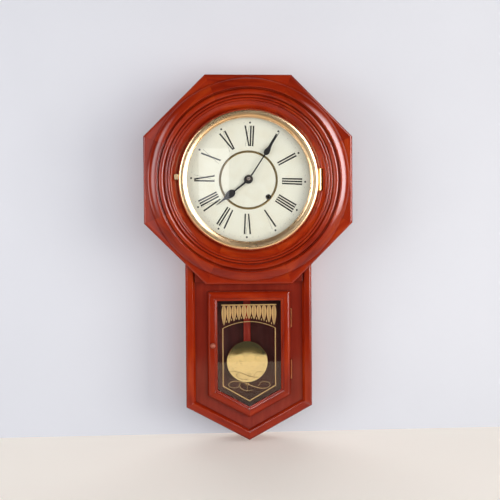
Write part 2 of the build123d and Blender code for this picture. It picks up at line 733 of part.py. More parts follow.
def build_frame():
    """Movement plates, pillars, feet and the suspension cock."""
    plate = RectangleRounded(PLATE_X[1] - PLATE_X[0], PLATE_Z[1] - PLATE_Z[0], 8)
    outline = Pos(sum(PLATE_X) / 2, sum(PLATE_Z) / 2) * plate
    window = Pos(50.0, 25.0) * RectangleRounded(26, 40, 6)
    window += Pos(-33.0, -28.0) * RectangleRounded(24, 50, 6)
    outline -= window
    for x, z in PILLARS_AT:
        outline -= Pos(x, z) * Circle(2.5 + FIT)
    for x, z in (FIRST_AT, THIRD_AT, ESCAPE_AT):
        outline -= Pos(x, z) * Circle(PIVOT_R + FIT)
    outline -= Pos(*BARREL_AT) * Circle(LIFT_R + FIT)
    rear = outline - Pos(0, 0) * Circle(PIVOT_R + FIT) - Pos(*VERGE_AT) * Circle(ARBOR_R + FIT)
    fore = outline - Pos(0, 0) * Circle(SHAFT_R + FIT) - Pos(*VERGE_AT) * Circle(PIVOT_R + FIT)
    cock = block(-5.0, 5.0, PENDULUM_Y + 5, BACK_PLATE_Y, VERGE_Z + 5, VERGE_Z + 13)
    cock += block(-4.0, 4.0, PENDULUM_Y + 5, PENDULUM_Y - 5, VERGE_Z + 0.3, VERGE_Z + 5)
    write("movement_back_plate", raise_face(rear, BACK_PLATE_Y, BACK_INNER_Y) + cock)
    fore_plate = raise_face(fore, FRONT_PLATE_Y, FRONT_FACE_Y)
    fore_plate += cyl(2.4, FRONT_FACE_Y, FRONT_FACE_Y - 1.6, *MOTION_AT)
    fore_plate += cyl(1.5, FRONT_FACE_Y, FRONT_FACE_Y - 10.0, *MOTION_AT)
    fore_plate += cyl(1.5, FRONT_FACE_Y, FRONT_FACE_Y - 6.4, *CLICK_AT)
    write("movement_front_plate", fore_plate)

    pillars, nuts, feet = [], [], []
    for x, z in PILLARS_AT:
        pillar = cyl(4.0, BACK_INNER_Y, FRONT_PLATE_Y, x, z)
        pillar += cyl(2.5, BACK_PLATE_Y + 6.0, FRONT_FACE_Y - 3.6, x, z)
        pillars.append(pillar)
        nut = RegularPolygon(4.6, 6) - Circle(2.5 + FIT)
        nuts.append(raise_face(Pos(x, z) * nut, FRONT_FACE_Y, FRONT_FACE_Y - 3.0))
        foot = cyl(5.0, -BACK_THICK, BACK_PLATE_Y, x, z)
        foot -= cyl(2.5 + FIT, BACK_PLATE_Y + 6.5, BACK_PLATE_Y, x, z)
        feet.append(foot - screw_hole(x, z, 0.0, *CASE_SCREW, -1))
    write("movement_pillars", *pillars)
    write("pillar_nuts", *nuts)
    write("movement_feet", *feet)


def build_winding():
    """Going barrel, mainspring, winding arbor, ratchet and click."""
    bx, bz = BARREL_AT
    drum_front = FRONT_PLATE_Y + 3.5
    drum_rear = drum_front + 20.0
    gear_rear = drum_rear + 2.5
    phase = 0.0
    inner = LIFT_R + FIT
    gear = raise_face(wheel_face(BARREL_TEETH, BARREL_MODULE, phase, inner), gear_rear, drum_rear)
    drum = gear + cyl(30.0, drum_rear, drum_front) - cyl(28.8, drum_rear, drum_front)
    drum -= cyl(inner, gear_rear, drum_front)
    write("barrel_drum", at(BARREL_AT, drum))
    cover = cyl(30.0, drum_front, drum_front - 1.2) - cyl(inner, drum_front, drum_front - 1.2)
    write("barrel_cover", at(BARREL_AT, cover))

    pitch = 2.6
    thick = 0.7
    turns = 8
    spring = None
    rear = drum_rear - 0.6
    fore = drum_front + 0.6
    for i in range(2 * turns):
        mean = 6.9 + i * pitch / 2
        shift = (pitch / 2) * (i % 2)
        upper = i % 2 == 0
        cutter = Rectangle(90, 45)
        ring = Circle(mean + thick / 2) - Circle(mean - thick / 2)
        half = Pos(shift, 0) * (ring & (Pos(0, 22.5 if upper else -22.5) * cutter))
        spring = half if spring is None else spring + half
    write("mainspring", at(BARREL_AT, raise_face(spring, rear, fore)))

    arbor = cyl(LIFT_R, BACK_PLATE_Y, FRONT_FACE_Y)
    arbor += cyl(5.6, rear, fore)
    arbor += block(-2.1, 2.1, FRONT_FACE_Y, LEDGE_Y + 1.0, -2.1, 2.1)
    write("winding_arbor", at(BARREL_AT, arbor))

    tooth_r = 11.0
    count = 24
    step = 360.0 / count
    points = []
    for i in range(count):
        points.append(around(0, 0, tooth_r, i * step - 0.12 * step))
        points.append(around(0, 0, tooth_r - 1.5, i * step))
    ratchet = make_face(Polyline(*points, close=True)) - Rectangle(4.2 + FIT, 4.2 + FIT)
    rear = FRONT_FACE_Y - 1.6
    write("ratchet_wheel", at(BARREL_AT, raise_face(ratchet, rear, rear - 2.2)))

    notch = step * round(285.0 / step)
    px, pz = CLICK_AT
    lean = notch + CLICK_LEAN

    def rim(radius, angle):
        return around(bx, bz, radius, angle)

    arm = [
        rim(tooth_r + 2.4, lean - 2),
        rim(tooth_r + 0.6, lean - 10),
        rim(tooth_r + 0.5, notch + 1.6 * step),
        rim(tooth_r + 0.4, notch + 0.9 * step),
        rim(tooth_r - 0.65, notch + 0.32 * step),
        rim(tooth_r - 1.15, notch + 0.05 * step),
        rim(tooth_r + 0.6, notch - 0.06 * step),
        rim(tooth_r + 2.6, notch + 0.6 * step),
        rim(tooth_r + 3.6, notch + 1.6 * step),
        rim(tooth_r + 6.4, lean - 4),
    ]
    click = sheet(arm, rear, rear - 2.2)
    click += cyl(3.0, rear, rear - 2.2, px, pz)
    click -= cyl(1.5 + FIT, rear, rear - 2.2, px, pz)
    write("click", click)
    coil_rear = rear - 2.5
    coil = cyl(2.6, coil_rear, coil_rear - 1.8, px, pz)
    coil -= cyl(1.5 + FIT, coil_rear, coil_rear - 1.8, px, pz)
    foot = rim(tooth_r + 3.0, notch + 1.5 * step)
    away = unit(foot, CLICK_AT)
    across = (-away[1] * 0.3, away[0] * 0.3)
    start = (px - away[0] * 2.0, pz - away[1] * 2.0)
    leg = [
        (start[0] - across[0], start[1] - across[1]),
        (start[0] + across[0], start[1] + across[1]),
        (foot[0] + across[0], foot[1] + across[1]),
        (foot[0] - across[0], foot[1] - across[1]),
    ]
    spring = coil + sheet(leg, coil_rear, coil_rear - 0.6)
    write("click_spring", spring)
    return phase


def arbor_along(y_rear, y_front, radius=ARBOR_R):
    """Arbor between the plates with a pivot in each."""
    arbor = cyl(radius, y_rear - 0.3, y_front + 0.3)
    arbor += cyl(PIVOT_R, BACK_PLATE_Y, FRONT_FACE_Y)
    return arbor


def build_train(barrel_phase):
    """Going train from the barrel to the escape wheel."""
    drum_rear = FRONT_PLATE_Y + 23.5
    inner_y = (BACK_INNER_Y, FRONT_PLATE_Y)

    phase = mesh_phase(FIRST_AT, FIRST_PINION, BARREL_AT, BARREL_TEETH, barrel_phase)
    leaves = pinion_face(FIRST_PINION, BARREL_MODULE, phase)
    pinion = raise_face(leaves, drum_rear + 4.5, drum_rear - 1.0)
    wheel_y = drum_rear + 6.5
    plan = wheel_face(FIRST_TEETH, FIRST_MODULE, 0.0, ARBOR_R, 5)
    wheel = raise_face(plan, wheel_y + 1.5, wheel_y)
    collet = cyl(3.0, wheel_y, drum_rear + 4.5)
    write("intermediate_wheel", at(FIRST_AT, wheel + collet + pinion + arbor_along(*inner_y)))

    phase = mesh_phase(CENTRE_AT, CENTRE_PINION, FIRST_AT, FIRST_TEETH, 0.0)
    leaves = pinion_face(CENTRE_PINION, FIRST_MODULE, phase)
    pinion = raise_face(leaves, wheel_y + 2.6, wheel_y - 1.5)
    shaft = cyl(ARBOR_R, BACK_INNER_Y - 0.3, drum_rear)
    shaft += cyl(PIVOT_R, BACK_PLATE_Y, BACK_INNER_Y - 0.3)
    shaft += cyl(SHAFT_R, drum_rear, DIAL_Y - 10.6)
    write("centre_arbor", shaft + pinion)
    centre_y = wheel_y + 4.0
    plan = wheel_face(CENTRE_TEETH, CENTRE_MODULE, 0.0, ARBOR_R + 0.02, 5)
    centre = raise_face(plan, centre_y + 1.5, centre_y)
    centre += cyl(3.0, centre_y, centre_y - 1.2) - cyl(ARBOR_R + 0.02, centre_y, centre_y - 1.2)
    write("centre_wheel", centre)

    phase = mesh_phase(THIRD_AT, THIRD_PINION, CENTRE_AT, CENTRE_TEETH, 0.0)
    leaves = pinion_face(THIRD_PINION, CENTRE_MODULE, phase)
    pinion = raise_face(leaves, centre_y + 3.0, centre_y - 1.5)
    third_y = drum_rear - 3.5
    plan = wheel_face(THIRD_TEETH, THIRD_MODULE, 0.0, ARBOR_R, 5)
    wheel = raise_face(plan, third_y + 1.5, third_y)
    collet = cyl(2.6, third_y + 3.0, third_y + 1.5)
    write("third_wheel", at(THIRD_AT, wheel + collet + pinion + arbor_along(*inner_y)))

    phase = mesh_phase(ESCAPE_AT, ESCAPE_PINION, THIRD_AT, THIRD_TEETH, 0.0)
    leaves = pinion_face(ESCAPE_PINION, THIRD_MODULE, phase)
    pinion = raise_face(leaves, third_y + 3.5, third_y - 2.0)
    escape_y = third_y - 10.0
    pitch = 360.0 / ESCAPE_TEETH
    start = 90.0 - PALLET_ANGLE + pitch / 4
    points = []
    for i in range(ESCAPE_TEETH):
        middle = start + i * pitch
        points.append(around(0, 0, ESCAPE_R - 2.6, middle - 0.26 * pitch))
        points.append(around(0, 0, ESCAPE_R, middle - 0.05 * pitch))
        points.append(around(0, 0, ESCAPE_R, middle + 0.05 * pitch))
        points.append(around(0, 0, ESCAPE_R - 2.6, middle + 0.26 * pitch))
    face = make_face(Polyline(*points, close=True))
    face -= Circle(9.4)
    spokes = Circle(3.4) + [Rot(0, 0, a) * Rectangle(19.6, 1.5) for a in (0, 60, 120)]
    face += spokes
    face -= Circle(ARBOR_R)
    wheel = raise_face(face, escape_y + 1.2, escape_y)
    collet = cyl(2.6, escape_y + 3.0, escape_y + 1.2)
    light = arbor_along(*inner_y)
    write("escape_wheel", at(ESCAPE_AT, wheel + collet + pinion + light))

    verge_back = escape_y + 2.4
    verge_front = escape_y - 1.2
    ex, ez = ESCAPE_AT
    face = Pos(*VERGE_AT) * Circle(3.6)
    for angle in (90 - PALLET_ANGLE, 90 + PALLET_ANGLE):
        root = around(ex, ez, ESCAPE_R + 2.7, angle)
        tip = around(ex, ez, ESCAPE_R + 0.14, angle)
        along = unit(VERGE_AT, root)
        side = (-along[1] * 1.2, along[0] * 1.2)
        arm = [
            (VERGE_AT[0] + side[0], VERGE_AT[1] + side[1]),
            (VERGE_AT[0] - side[0], VERGE_AT[1] - side[1]),
            (root[0] - side[0] * 0.8, root[1] - side[1] * 0.8),
            (root[0] + side[0] * 0.8, root[1] + side[1] * 0.8),
        ]
        face += make_face(Polyline(*arm, close=True))
        inward = unit(root, tip)
        across = (-inward[1] * 0.3, inward[0] * 0.3)
        nib = [
            (root[0] - across[0] * 2.5 - inward[0], root[1] - across[1] * 2.5 - inward[1]),
            (root[0] + across[0] * 2.5 - inward[0], root[1] + across[1] * 2.5 - inward[1]),
            (tip[0] + across[0], tip[1] + across[1]),
            (tip[0] - across[0], tip[1] - across[1]),
        ]
        face += make_face(Polyline(*nib, close=True))
    verge = raise_face(face, verge_back, verge_front)
    rod = cyl(ARBOR_R, BACK_PLATE_Y + 3.4, FRONT_PLATE_Y + 0.3)
    rod += cyl(PIVOT_R, FRONT_PLATE_Y + 0.3, FRONT_FACE_Y)
    write("verge", verge + at(VERGE_AT, rod))


def build_motion_work():
    """Cannon pinion, minute wheel, hour wheel and hands."""
    base = FRONT_FACE_Y
    cannon_phase = 0.0
    cannon_r = CANNON_LEAVES * CANNON_MODULE / 2
    leaves = teeth(CANNON_LEAVES, cannon_r - 0.85, cannon_r + 0.55, 0.5, 0.2, cannon_phase)
    cannon = raise_face(leaves, base - 2.0, base - 4.8)
    minute_y = DIAL_Y - 6.4
    cannon += cyl(2.95, base - 2.0, minute_y)
    cannon += cyl(2.4, minute_y, minute_y - 0.8)
    cannon -= cyl(SHAFT_R + FIT, base, minute_y - 2.0)
    write("cannon_pinion", cannon)

    phase = mesh_phase(MOTION_AT, MINUTE_TEETH, CENTRE_AT, CANNON_LEAVES, cannon_phase)
    plan = wheel_face(MINUTE_TEETH, CANNON_MODULE, phase, 1.5 + FIT, 4)
    wheel = raise_face(plan, base - 2.4, base - 4.2)
    leaf_r = MINUTE_PINION * HOUR_MODULE / 2
    leaves = teeth(MINUTE_PINION, leaf_r - 0.95, leaf_r + 0.5, 0.46, 0.18, 0.0)
    wheel += raise_face(leaves - Circle(1.5 + FIT), base - 4.2, base - 9.0)
    write("minute_wheel", at(MOTION_AT, wheel))
    phase = mesh_phase(CENTRE_AT, HOUR_TEETH, MOTION_AT, MINUTE_PINION, 0.0)
    pipe_bore = 2.95 + FIT
    hour_y = DIAL_Y - 3.2
    plan = wheel_face(HOUR_TEETH, HOUR_MODULE, phase, pipe_bore, 4)
    hour = raise_face(plan, base - 6.0, base - 7.8)
    hour += cyl(5.6, base - 7.8, base - 9.4) - cyl(pipe_bore, base - 7.8, base - 9.4)
    hour += cyl(4.6, base - 7.8, hour_y) - cyl(pipe_bore, base - 7.8, hour_y)
    hour += cyl(4.0, hour_y, hour_y - 1.3) - cyl(pipe_bore, hour_y, hour_y - 1.3)
    write("hour_wheel", hour)

    def hand(length, widths, hub, bore, y, rest):
        right = [(half * 1.0, far * length) for far, half in widths]
        left = [(-x, z) for x, z in reversed(right)]
        face = make_face(Polyline(*(right + left), close=True)) + Circle(hub)
        face -= Circle(bore)
        return Rot(0, rest, 0) * raise_face(face, y, y - 0.8)

    minute_widths = [
        (0.02, 1.7), (0.30, 1.2), (0.515, 1.1), (0.522, 2.3), (0.530, 3.4), (0.542, 4.4), (0.557, 5.2),
        (0.575, 5.6), (0.595, 5.5), (0.615, 5.0), (0.64, 4.2), (0.665, 3.3), (0.69, 2.5), (0.72, 1.8),
        (0.75, 1.4), (0.80, 1.1), (0.90, 0.8), (1.0, 0.25),
    ]
    hour_widths = [
        (0.02, 2.3), (0.25, 1.7), (0.43, 1.6), (0.44, 3.0), (0.452, 4.4), (0.47, 5.7), (0.495, 6.7),
        (0.53, 7.2), (0.57, 7.2), (0.61, 6.7), (0.645, 5.8), (0.68, 4.6), (0.71, 3.5), (0.74, 2.5),
        (0.775, 1.8), (0.82, 1.4), (0.90, 0.9), (1.0, 0.25),
    ]
    write("hour_hand", hand(HOUR_LENGTH, hour_widths, 8.8, 4.0 + FIT, hour_y, HOUR_REST))
    write("minute_hand", hand(MINUTE_LENGTH, minute_widths, 6.4, 2.4 + FIT, minute_y, MINUTE_REST))
    top = minute_y - 0.85
    nut = turned(
        (SHAFT_R + FIT, top),
        [(3.6, top), (3.6, top - 1.2), ((3.2, top - 2.3), (2.2, top - 2.9)), (SHAFT_R + FIT, top - 2.9)],
    )
    write("hand_nut", nut)


def build_pendulum():
    """Crutch, suspension, rod, bob and rating nut."""
    y = PENDULUM_Y
    rear = BACK_PLATE_Y + 3.2
    fore = BACK_PLATE_Y + 1.6
    fork_z = VERGE_Z - 53.0
    crutch = cyl(3.2, rear, fore, *VERGE_AT) + block(-1.3, 1.3, rear, fore, fork_z, VERGE_Z)
    crutch += block(-5.2, 5.2, rear, fore, fork_z, fork_z + 4)
    for x in (-5.2, 3.5):
        crutch += block(x, x + 1.7, y + 2.6, fore, fork_z, fork_z + 4)
    crutch -= cyl(ARBOR_R + 0.02, rear, fore, *VERGE_AT)
    write("crutch", crutch)

    leaf = block(-0.2, 0.2, y + 4, y - 4, VERGE_Z - 14, VERGE_Z)
    write("suspension_spring", leaf)
    chop = block(-2.6, 2.6, y + 4.6, y - 4.6, VERGE_Z - 20, VERGE_Z - 10)
    chop -= block(-0.22, 0.22, y + 4.6, y - 4.6, VERGE_Z - 14, VERGE_Z - 10)
    chop += block(-3.1, 3.1, y + 1.0, y - 1.0, VERGE_Z - 130, VERGE_Z - 20)
    write("pendulum_hook", chop)

    rod_top = VERGE_Z - 112
    rod_end = BOB_Z - 0.7 * BOB_R
    half = ROD_WIDTH / 2
    deep = ROD_THICK / 2
    rod = block(-half, half, y + deep, y - deep, rod_end, rod_top)
    rod -= block(-3.15, 3.15, y + 1.02, y - 1.02, VERGE_Z - 130, rod_top)
    rod -= post(1.5 + 0.02, rod_end, rod_end + 14, 0.0, y)
    write("pendulum_rod", rod)
    stud_end = BOB_Z - BOB_R - 20.0
    write("rating_stud", post(1.5, stud_end, rod_end + 13.8, 0.0, y))

    rise = 4.0
    rim = BOB_DEEP / 2 - rise
    round_r = 2.2
    face_r = BOB_R - round_r
    flat_r = 0.38 * BOB_R
    bend = ((face_r - flat_r) ** 2 + rise**2) / (2 * rise)
    half_way = (face_r + flat_r) / 2
    drop = bend - sqrt(bend**2 - (half_way - flat_r) ** 2)
    nose = round_r * (1 - sqrt(0.5))
    bob = turned(
        (0.0, y - BOB_DEEP / 2),
        [
            (flat_r, y - BOB_DEEP / 2),
            ((half_way, y - BOB_DEEP / 2 + drop), (face_r, y - rim)),
            ((BOB_R - nose, y - rim + nose), (BOB_R, y - rim + round_r)),
            (BOB_R, y + rim - round_r),
            ((BOB_R - nose, y + rim - nose), (face_r, y + rim)),
            ((half_way, y + BOB_DEEP / 2 - drop), (flat_r, y + BOB_DEEP / 2)),
            (0.0, y + BOB_DEEP / 2),
        ],
        0.0,
        BOB_Z,
    )
    slot = half + 0.15
    slot_end = rod_end - BOB_TRAVEL - 1.0
    bob -= block(-slot, slot, y + deep + 0.15, y - deep - 0.15, slot_end, BOB_Z + BOB_R + 5)
    bob -= post(1.9, BOB_Z - BOB_R - 5, slot_end, 0.0, y)
    write("bob", bob)
    nut_top = BOB_Z - BOB_R - 0.35
    points = []
    for i in range(20):
        points.append(around(0, 0, 5.2, i * 18.0))
        points.append(around(0, 0, 4.8, i * 18.0 + 9.0))
    knurl = make_face(Polyline(*points, close=True)) - Circle(1.5 + FIT)
    nut = extrude(knurl, amount=5.0, dir=(0, 0, -1))
    write("rating_nut", Pos(0, y, nut_top) * nut)


hanger_points = build_case()
build_head(hanger_points)
pin = build_bezel()
build_door(pin)
build_frame()
first_phase = build_winding()
build_train(first_phase)
build_motion_work()
build_pendulum()
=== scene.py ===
"""Looks of the pendulum wall clock: finishes, dial markings, gilding on the door glass, light and camera.

Every length in a field of a sub-assembly or of the studio is in millimetres, measured from the arbor of the
hands, with X to the right, Y into the wall and Z up. Lengths in a finish are in metres, as shaders take them.
Meshes are in metres in the row frame, whose origin is the hanger hole.
"""
import logging
import math
from dataclasses import dataclass
from enum import Enum
from functools import cache
from typing import Optional, Sequence, Union

import bmesh
import bpy
from mathutils import Matrix, Vector


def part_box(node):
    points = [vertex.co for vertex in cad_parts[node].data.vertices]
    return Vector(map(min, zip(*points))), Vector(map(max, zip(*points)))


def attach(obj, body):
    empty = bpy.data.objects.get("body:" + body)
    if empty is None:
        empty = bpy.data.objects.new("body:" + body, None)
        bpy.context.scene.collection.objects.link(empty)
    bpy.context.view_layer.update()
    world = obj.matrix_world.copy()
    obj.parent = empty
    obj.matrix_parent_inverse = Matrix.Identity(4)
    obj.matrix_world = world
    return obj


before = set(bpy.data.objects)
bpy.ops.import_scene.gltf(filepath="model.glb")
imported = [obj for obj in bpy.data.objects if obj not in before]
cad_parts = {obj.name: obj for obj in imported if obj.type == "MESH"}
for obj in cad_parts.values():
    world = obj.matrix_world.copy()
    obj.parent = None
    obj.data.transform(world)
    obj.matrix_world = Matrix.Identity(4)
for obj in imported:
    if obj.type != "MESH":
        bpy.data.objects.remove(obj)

Socket = bpy.types.NodeSocket
Value = Union[float, Sequence[float], Socket]
Point = tuple[float, float]
Place = tuple[float, float, float]
Colour = tuple[float, float, float, float]

MM = 0.001
# Drop from the hanger hole to the arbor of the hands, in millimetres.
ARBOR_DROP = 115.0
# Slope of the two boards of the foot and of the door's two lower rails.
FOOT_SLOPE = math.radians(28.45)
# Sockets of Blender's Mix node for each kind of data: the one below, the one above, and the result.
MIX_SOCKETS = {"RGBA": (6, 7, 2), "VECTOR": (4, 5, 1)}
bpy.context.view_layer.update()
log = logging.getLogger("clock")


def colour(red: int, green: int, blue: int) -> Colour:
    """Turns a display colour into the linear colour that shaders take.

    Args:
        red: display red, 0 to 255.
        green: display green, 0 to 255.
        blue: display blue, 0 to 255.

    Returns:
        The linear colour with an alpha of 1.
    """
    shares = []
    for level in (red, green, blue):
        share = level / 255.0
        shares.append(share / 12.92 if share <= 0.04045 else ((share + 0.055) / 1.055) ** 2.4)
    return (shares[0], shares[1], shares[2], 1.0)


class NodeSheet:
    """Short calls that place and join the nodes of one shader tree."""

    def __init__(self, tree: bpy.types.NodeTree) -> None:
        """Keeps the tree that the calls work on."""
        self.tree = tree

    def place(self, kind: str, **settings: object) -> bpy.types.Node:
        """Adds a node.

        Args:
            kind: Blender's name of the node type.
            settings: properties of the node and their values.

        Returns:
            The new node.
        """
        node = self.tree.nodes.new(kind)
        for name, value in settings.items():
            setattr(node, name, value)
        return node

    def put(self, socket: Socket, value: Value) -> None:
        """Joins an output to an input, or sets the input's own value.

        Args:
            socket: the input.
            value: an output socket, a number, or a colour or vector.
        """
        if isinstance(value, bpy.types.NodeSocket):
            self.tree.links.new(value, socket)
        else:
            socket.default_value = value

    def sums(self, operation: str, first: Value, second: Value = 0.0, third: Value = 0.0) -> Socket:
        """Adds a Math node.

        Args:
            operation: Blender's name of the operation.
            first: its first input.
            second: its second input.
            third: its third input.

        Returns:
            The result.
        """
        node = self.place("ShaderNodeMath", operation=operation)
        for socket, value in zip(node.inputs, (first, second, third)):
            self.put(socket, value)
        return node.outputs[0]

    def vectors(self, operation: str, first: Value, second: Value) -> Socket:
        """Adds a Vector Math node.

        Args:
            operation: Blender's name of the operation.
            first: its first vector.
            second: its second vector.

        Returns:
            The resulting vector.
        """
        node = self.place("ShaderNodeVectorMath", operation=operation)
        self.put(node.inputs[0], first)
        self.put(node.inputs[1], second)
        return node.outputs[0]

    def scaled(self, vector: Value, factors: Value) -> Socket:
        """Multiplies a vector by factors along its three axes."""
        return self.vectors("MULTIPLY", vector, factors)

    def moved(self, vector: Value, step: Value) -> Socket:
        """Adds a step to a vector."""
        return self.vectors("ADD", vector, step)

    def parts(self, vector: Socket) -> tuple[Socket, Socket, Socket]:
        """Splits a vector into its three numbers.

        Args:
            vector: the vector.

        Returns:
            Its X, Y and Z.
        """
        node = self.place("ShaderNodeSeparateXYZ")
        self.put(node.inputs[0], vector)
        return node.outputs[0], node.outputs[1], node.outputs[2]

    def joined(self, x: Value, y: Value, z: Value) -> Socket:
        """Makes a vector of three numbers.

        Args:
            x: its first number.
            y: its second number.
            z: its third number.

        Returns:
            The vector.
        """
        node = self.place("ShaderNodeCombineXYZ")
        for socket, value in zip(node.inputs, (x, y, z)):
            self.put(socket, value)
        return node.outputs[0]

    def spot(self) -> Socket:
        """Finds the point that is shaded, in the frame of its piece."""
        return self.place("ShaderNodeTexCoord").outputs["Object"]

    def facing(self) -> Socket:
        """Finds which way a face of the piece looks: -1 is to the front, 1 to the back."""
        return self.parts(self.place("ShaderNodeTexCoord").outputs["Normal"])[1]

    def mixed(self, kind: str, share: Value, first: Value, second: Value) -> Socket:
        """Adds a Mix node.

        Args:
            kind: Blender's name of the data that it mixes.
            share: how much of the second input shows.
            first: the input below.
            second: the input above.

        Returns:
            The mixed colour or vector.
        """
        node = self.place("ShaderNodeMix", data_type=kind)
        below, above, result = MIX_SOCKETS[kind]
        self.put(node.inputs[0], share)
        self.put(node.inputs[below], first)
        self.put(node.inputs[above], second)
        return node.outputs[result]

    def blended(self, share: Value, first: Value, second: Value) -> Socket:
        """Mixes two colours by a share of the second."""
        return self.mixed("RGBA", share, first, second)

    def chosen(self, share: Value, first: Value, second: Value) -> Socket:
        """Mixes two vectors by a share of the second."""
        return self.mixed("VECTOR", share, first, second)

    def ranged(self, value: Value, low: float, high: float, start: float = 0.0, end: float = 1.0) -> Socket:
        """Eases a value from one range into another.

        Args:
            value: the number to change.
            low: where the result begins to leave its start.
            high: where it reaches its end.
            start: result at low and below.
            end: result at high and above.

        Returns:
            The eased number.
        """
        node = self.place("ShaderNodeMapRange", interpolation_type="SMOOTHSTEP")
        for socket, number in zip(node.inputs, (value, low, high, start, end)):
            self.put(socket, number)
        return node.outputs[0]

    def noise(self, vector: Value, scale: float, detail: float = 2.0, waver: float = 0.0) -> Socket:
        """Adds a noise texture.

        Args:
            vector: where it is read.
            scale: how fine it is.
            detail: how many finer layers it has.
            waver: how far its lines wander.

        Returns:
            Its number, near 0.5.
        """
        node = self.place("ShaderNodeTexNoise")
        self.put(node.inputs["Vector"], vector)
        self.put(node.inputs["Scale"], scale)
        self.put(node.inputs["Detail"], detail)
        self.put(node.inputs["Distortion"], waver)
        return node.outputs[0]

    def effect(self, tree: bpy.types.NodeTree, **values: Value) -> bpy.types.Node:
        """Places a shared effect with its own values.

        Args:
            tree: the effect's node group.
            values: its inputs by name.

        Returns:
            The placed group.
        """
        node = self.place("ShaderNodeGroup", node_tree=tree)
        for name, value in values.items():
            self.put(node.inputs[name], value)
        return node

    def bumped(self, height: Value, strength: float, distance: float) -> Socket:
        """Turns a height into a normal.

        Args:
            height: the height to show.
            strength: share of the bump.
            distance: depth of the full height, in metres.

        Returns:
            The bent normal.
        """
        node = self.place("ShaderNodeBump")
        self.put(node.inputs["Strength"], strength)
        self.put(node.inputs["Distance"], distance)
        self.put(node.inputs["Height"], height)
        return node.outputs[0]


class Kind(Enum):
    """What a socket of a shared effect carries."""

    NUMBER = "NodeSocketFloat"
    COLOUR = "NodeSocketColor"
    VECTOR = "NodeSocketVector"


OpenGroup = tuple[NodeSheet, bpy.types.NodeOutputs, bpy.types.NodeInputs]


